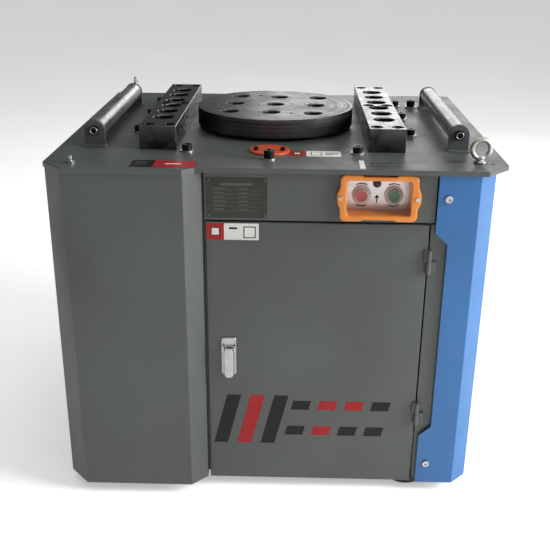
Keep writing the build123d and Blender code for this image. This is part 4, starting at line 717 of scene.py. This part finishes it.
# a stepped clear ring: heights are measured back from its front edge
bezelLook = {"bore": 12.9, "step": 15.6, "rim": 18.5, "collar": 11.0, "stem": 5.1, "floor": 4.5,
             "flange": 6.0}
bezelLow, bezelHigh = boxMm("button_bezels")
rings = []
for node in ("red_button", "green_button"):
    low, high = boxMm(node)
    centre = (low + high) / 2
    look, front, tail = bezelLook, bezelLow[1], bezelHigh[1] - bezelLow[1]
    bore, step, rim = look["bore"], look["step"], look["rim"]
    profile = [(bore, -0.4), (bore + 0.5, 0.0), (step - 0.8, 0.0), (step, -0.7), (step + 0.2, -2.0),
               (rim - 1.0, -2.4), (rim - 0.2, -2.9), (rim, -3.6), (rim, -look["flange"]),
               (look["collar"], -look["flange"]), (look["collar"], -tail), (look["stem"], -tail),
               (look["stem"], -look["floor"]), (bore, -look["floor"])]
    rings.append(latheGrid(profile, (centre[0], front, centre[2]), toward, xAxis, 96, closed=True))
makePiece("bezelRings", rings, [made["clearPlastic"]], "frame", ["button_bezels"], 30)

lampLook = {"dome": 0.72, "domeTurn": 1.2, "domeRise": 1.2, "flange": 5.0, "stem": 6.0}
low, high = boxMm("pilot_lamp")
centre = (low + high) / 2
lampRadius, lampReach = (high[0] - low[0]) / 2, high[1] - low[1]
domeTurn, stem, flange = lampLook["domeTurn"], lampLook["stem"], lampLook["flange"]
dome = [(lampRadius * lampLook["dome"] * sin(t), -lampLook["domeRise"] * (1 - cos(t)) / (1 - cos(domeTurn)))
        for t in np.linspace(0, domeTurn, 8)]
profile = dome + [
    (lampRadius - 1.6, -1.9), (lampRadius - 0.4, -2.3), (lampRadius, -3.0), (lampRadius, -flange),
    (stem, -flange), (stem, -lampReach), (0.0, -lampReach),
]
makePiece("lampLens", [latheGrid(profile, (centre[0], low[1], centre[2]), toward, xAxis, 48)],
          [made["blackPlastic"]], "frame", ["pilot_lamp"])
panelMarks = {"arcRadius": 22.6, "arcWide": 2.2, "span": 32.0, "arrow": (197.0, 660.0), "thick": 0.12}


def arcPatch(centre, radius, wide, start, end, plane, thick, number):
    # a printed arc: its section carried round centre from the start angle to the end, in degrees
    across, up, out = plane
    angle = np.radians(np.linspace(start, end, 24))
    taper = np.clip(np.minimum(np.arange(24), np.arange(24)[::-1]) / 5 + 0.25, 0, 1)
    section = np.array([(-0.5, 0.0), (-0.5, 1.0), (0.5, 1.0), (0.5, 0.0)])
    r = radius + section[:, 0][:, None] * wide * taper
    points = (np.array(centre) + (r * np.cos(angle))[..., None] * across + (r * np.sin(angle))[..., None] * up
              + (section[:, 1] * thick)[:, None, None] * out)
    return points, True, False, number


panelFace = boxMm("control_panel")[0][1]
marks = []
thick = panelMarks["thick"]
for node in ("red_button", "green_button"):
    low, high = boxMm(node)
    centre = ((low + high)[0] / 2, panelFace, (low + high)[2] / 2)
    for middleAngle in (90, 270):
        marks.append(arcPatch(centre, panelMarks["arcRadius"], panelMarks["arcWide"],
                              middleAngle - panelMarks["span"], middleAngle + panelMarks["span"],
                              (xAxis, zAxis, toward), thick, 0))
arrowX, arrowZ = panelMarks["arrow"]
shaft = roundedOutline(2.6, 9.0, 0.4, 3)
head = np.array([(0.0, 4.2), (-5.0, -3.4), (5.0, -3.4)])
for outline, z in ((shaft, arrowZ - 6.0), (head, arrowZ + 2.0)):
    layers = [(None, 0.0), (0, 0.0), (0, thick), (None, thick)]
    marks.append(plateGrid(outline, layers, (arrowX, panelFace, z), xAxis, zAxis, toward))
makePiece("panelMarks", marks, [made["blackInk"]], "frame")

# a bright ring round the head of each roller's end screw, beyond the gap, the bracket and the head
endRing = {"radius": 6.6, "minor": 0.9, "gap": 0.5, "bracket": 10.0, "head": 8.0}
angle = np.linspace(0, 2 * pi, 40, endpoint=False)[:, None]
circle = endRing["radius"] * (np.cos(angle) * xAxis + np.sin(angle) * zAxis)
rings = []
for roller in ("left_roller", "right_roller"):
    low, high = boxMm(roller)
    reach = (high[1] - low[1]) / 2 + endRing["gap"] + endRing["bracket"] + endRing["head"]
    for side in (-1, 1):
        tip = (low + high) / 2 + side * reach * yAxis
        rings.append(tubeGrid(tip + circle, endRing["minor"], 10))
makePiece("endScrewRings", rings, [made["zinc"]], "frame")
print("controls made")


# lifting eyes

eyeLook = {"major": 18.25, "minor": 4.5, "neck": 1.6, "neckSpread": 0.35,
           "turns": {"front_lifting_eye": 10, "rear_lifting_eye": 100}}
for node, aim in eyeLook["turns"].items():
    low, high = boxMm(node)
    centreX, centreY = (low + high)[:2] / 2
    ringZ = high[2] - eyeLook["major"] - eyeLook["minor"]
    angle = np.linspace(-pi / 2, 3 * pi / 2, 72, endpoint=False)
    heading = np.array([cos(radians(aim)), sin(radians(aim)), 0])
    path = (np.array([centreX, centreY, ringZ]) + eyeLook["major"] * np.cos(angle)[:, None] * heading
            + eyeLook["major"] * np.sin(angle)[:, None] * zAxis)
    fromFoot = np.minimum(np.abs(angle + pi / 2), np.abs(angle - 3 * pi / 2))
    radii = eyeLook["minor"] + eyeLook["neck"] * np.exp(-(fromFoot / eyeLook["neckSpread"]) ** 2)
    bottom = low[2] - tableTop
    foot = [(0.0, 8.6), (5.2, 8.6), (6.2, 6.4), (8.6, 4.6), (11.2, 3.9), (12.0, 3.2), (12.0, 0.6),
            (11.4, 0.0), (6.0, 0.0), (6.0, bottom), (0.0, bottom)]
    forging = [tubeGrid(path, radii), latheGrid(foot, (centreX, centreY, tableTop), zAxis, xAxis, 40)]
    makePiece(node + "Forging", forging, [made["zinc"]], "frame", [node], 45)


# weld beads round the bracket feet

def beadGrid(path, radius, ripple, pitch, count=10):
    # a half-round bead that swells with each weld pool: radius * (1 + ripple * |sin(pi s / pitch)|)
    walked = np.concatenate([[0], np.cumsum(np.linalg.norm(np.diff(path, axis=0), axis=1))])
    at = np.linspace(0, walked[-1], int(walked[-1] / weldLook["step"]), endpoint=False)
    line = np.stack([np.interp(at, walked, path[:, k]) for k in range(3)], 1)
    swell = radius * (1 + ripple * (np.abs(np.sin(pi * at / pitch)) - 0.6))
    return tubeGrid(line, swell, count)


weldLook = {"radius": 3.0, "ripple": 0.22, "pitch": 4.2, "step": 0.7, "corner": 2.5, "foot": (41.0, 10.0),
            "gap": 0.5, "spread": 3.0, "lift": 0.8}
footWide, footDeep = weldLook["foot"]
outline = roundedOutline(footWide + weldLook["spread"], footDeep + weldLook["spread"], weldLook["corner"], 6)
level = np.full(len(outline), tableTop + weldLook["lift"])
brackets = []
for roller in ("left_roller", "right_roller"):
    low, high = boxMm(roller)
    footX, gap = (low + high)[0] / 2, weldLook["gap"]
    for footY in (low[1] - gap - footDeep / 2, high[1] + gap + footDeep / 2):
        loop = np.column_stack([outline[:, 0] + footX, outline[:, 1] + footY, level])
        brackets.append(beadGrid(np.vstack([loop, loop[:1]]), weldLook["radius"], weldLook["ripple"],
                                 weldLook["pitch"]))
makePiece("bracketWelds", brackets, [made["greyEnamel"]], "frame", smoothAngle=60)
print("eyes and welds made")


# printed labels, rating plate, door stripes

def inkPatch(width, height, centre, across, up, out, lift, thick, number, corner=0.6, lean=0.0):
    # a thin closed patch; lean slides its upper edge sideways
    outline = roundedOutline(width, height, min(corner, width / 3, height / 3), 4)
    outline = outline + np.stack([outline[:, 1] * lean, np.zeros(len(outline))], 1)
    origin = np.array(centre, float) + np.array(out) * lift
    layers = [(None, 0.0), (0, 0.0), (0, thick), (None, thick)]
    return plateGrid(outline, layers, origin, across, up, out, number)


tablePlane = (xAxis, yAxis, zAxis)
doorPlane = (xAxis, zAxis, -yAxis)
inks = [made[name] for name in ("redInk", "whiteInk", "blackInk", "plateInk", "paleInk")]
red, white, black, olive, pale = range(5)

tableLabels = {
    # centre x, centre y, width, height, ink, lift
    "front": [(-214.5, -354.5, 125.0, 51.0, black, 0.0), (-193.0, -354.5, 80.0, 49.0, red, 0.16),
              (-258.0, -343.0, 24.0, 4.0, pale, 0.16), (-258.0, -352.0, 24.0, 2.0, pale, 0.16),
              (-258.0, -359.0, 24.0, 2.0, pale, 0.16), (-196.0, -354.5, 30.0, 6.0, white, 0.24)],
    "port": [(40.5, -259.0, 33.0, 44.0, red, 0.0), (93.5, -259.0, 69.0, 44.0, white, 0.0),
             (40.5, -259.0, 12.0, 12.0, white, 0.16), (79.0, -259.0, 22.0, 26.0, black, 0.16),
             (79.0, -259.0, 18.0, 22.0, white, 0.24), (110.0, -252.0, 26.0, 3.0, black, 0.16),
             (110.0, -259.0, 26.0, 3.0, black, 0.16), (106.0, -266.0, 18.0, 3.0, black, 0.16)],
    "side": [(165.0, -338.5, 10.0, 61.0, white, 0.0)]
    + [(184.0 + 13.0 * i, y, 8.0, 5.0, olive, 0.0) for i in range(6) for y in (-327.0, -349.0)],
}
grids = [inkPatch(w, h, (x, y, tableTop), *tablePlane, lift, 0.16, ink)
         for rows in tableLabels.values() for x, y, w, h, ink, lift in rows]
makePiece("tableLabels", grids, inks, "frame")

plateLook = {"low": (-134.0, 623.0), "size": (118.0, 81.0), "thick": 0.6, "rows": 6, "firstRow": 15.0,
             "pitch": 8.2, "margin": 13.0, "rivet": 2.4, "inset": 5.0}
plateW, plateH = plateLook["size"]
plateX, plateZ = plateLook["low"][0] + plateW / 2, plateLook["low"][1] + plateH / 2
faceY = boxMm("front_door")[0][1]


def plateMark(width, height, x, z, thick, corner=0.6):
    # one pale mark lying on the rating plate
    return inkPatch(width, height, (x, faceY, z), *doorPlane, plateLook["thick"], thick, pale, corner)


grids = [inkPatch(plateW, plateH, (plateX, faceY, plateZ), *doorPlane, 0.0, plateLook["thick"], olive, 3.0)]
grids.append(plateMark(plateW * 0.52, 5.0, plateX, plateZ + 27, 0.08))
for row in range(plateLook["rows"]):
    rowZ = plateZ + plateLook["firstRow"] - row * plateLook["pitch"]
    grids.append(plateMark(plateW - 2 * plateLook["margin"], 0.7, plateX, rowZ, 0.08, 0.2))
    for column, share in ((-1, 0.62 - 0.07 * (row % 3)), (1, 0.40 + 0.08 * (row % 2))):
        width = 40 * share
        grids.append(plateMark(width, 2.2, plateX + column * 24 - 20 + width / 2, rowZ + 3.2, 0.06, 0.2))
rivet = plateLook["rivet"]
dome = [(rivet * sin(t), rivet * 0.6 * cos(t)) for t in np.linspace(0, pi / 2, 7)]
dome += [(rivet * 1.02, -0.2), (0.0, -0.2)]
for sideX in (-1, 1):
    for sideZ in (-1, 1):
        at = (plateX + sideX * (plateW / 2 - plateLook["inset"]), faceY - plateLook["thick"],
              plateZ + sideZ * (plateH / 2 - plateLook["inset"]))
        grids.append(latheGrid(dome, at, -yAxis, xAxis, 24, pale))
makePiece("ratingPlate", grids, inks, "frame")

doorMarks = {
    # centre x, centre z, width, height, ink, lift, lean
    "label": [(-117.0, 595.0, 34.0, 34.0, red, 0.0, 0.0), (-66.0, 595.0, 68.0, 34.0, white, 0.0, 0.0),
              (-117.0, 595.0, 14.0, 14.0, white, 0.16, 0.0), (-50.0, 594.0, 24.0, 24.0, black, 0.16, 0.0),
              (-50.0, 594.0, 20.0, 20.0, white, 0.24, 0.0), (-82.0, 602.0, 16.0, 4.0, black, 0.16, 0.0)],
    "stripes": [(-98.0, 172.0, 30.0, 118.0, black, 0.0, 0.25), (-48.0, 172.0, 30.0, 118.0, red, 0.0, 0.25),
                (2.0, 172.0, 30.0, 118.0, black, 0.0, 0.25)],
}
dashes = [(58 + 56 * i, 208.0, 38.0, 22.0, red if i in (1, 2) else black, 0.0, 0.25) for i in range(4)]
dashes += [(46 + 56 * i, 146.0, 38.0, 22.0, red if i == 1 else black, 0.0, 0.25) for i in range(4)]
doorMarks["stripes"] += dashes
grids = [inkPatch(w, h, (x, faceY, z), *doorPlane, lift, 0.16, ink, lean=lean)
         for rows in doorMarks.values() for x, z, w, h, ink, lift, lean in rows]
makePiece("doorMarks", grids, inks, "door")
print("labels made")


# floor

floorLook = {"colour": "#F4F4F3", "cloud": "#EEEEED", "cloudSize": 900, "grainSize": 120, "glow": 0.40,
             "half": 25, "drop": 0.0005}
floorMaterial, shader, add, place, tint = newMaterial("studioFloor", floorLook, **{
    "Specular IOR Level": 0.0, "Emission Color": linearColour("#FFFFFF"),
    "Emission Strength": floorLook["glow"],
})
cloud = add("MapRange", [mottle(add, place, floorLook["cloudSize"], 4.0), 0.3, 0.7])
colour = add("Mix", {0: cloud, 6: tint["colour"], 7: tint["cloud"]}, **colourMix)
rough = add("MapRange", [mottle(add, place, floorLook["grainSize"], 5.0), 0.3, 0.7, 0.55, 0.7])
feed(shader, baseColor=colour, roughness=rough)
half = floorLook["half"]
floorMesh = bpy.data.meshes.new("floor")
floorMesh.from_pydata([(-half, -half, 0), (half, -half, 0), (half, half, 0), (-half, half, 0)], [],
                      [(0, 1, 2, 3)])
floorMesh.materials.append(floorMaterial)
floor = bpy.data.objects.new("floor", floorMesh)
floor.location.z = -floorLook["drop"]
bpy.context.scene.collection.objects.link(floor)
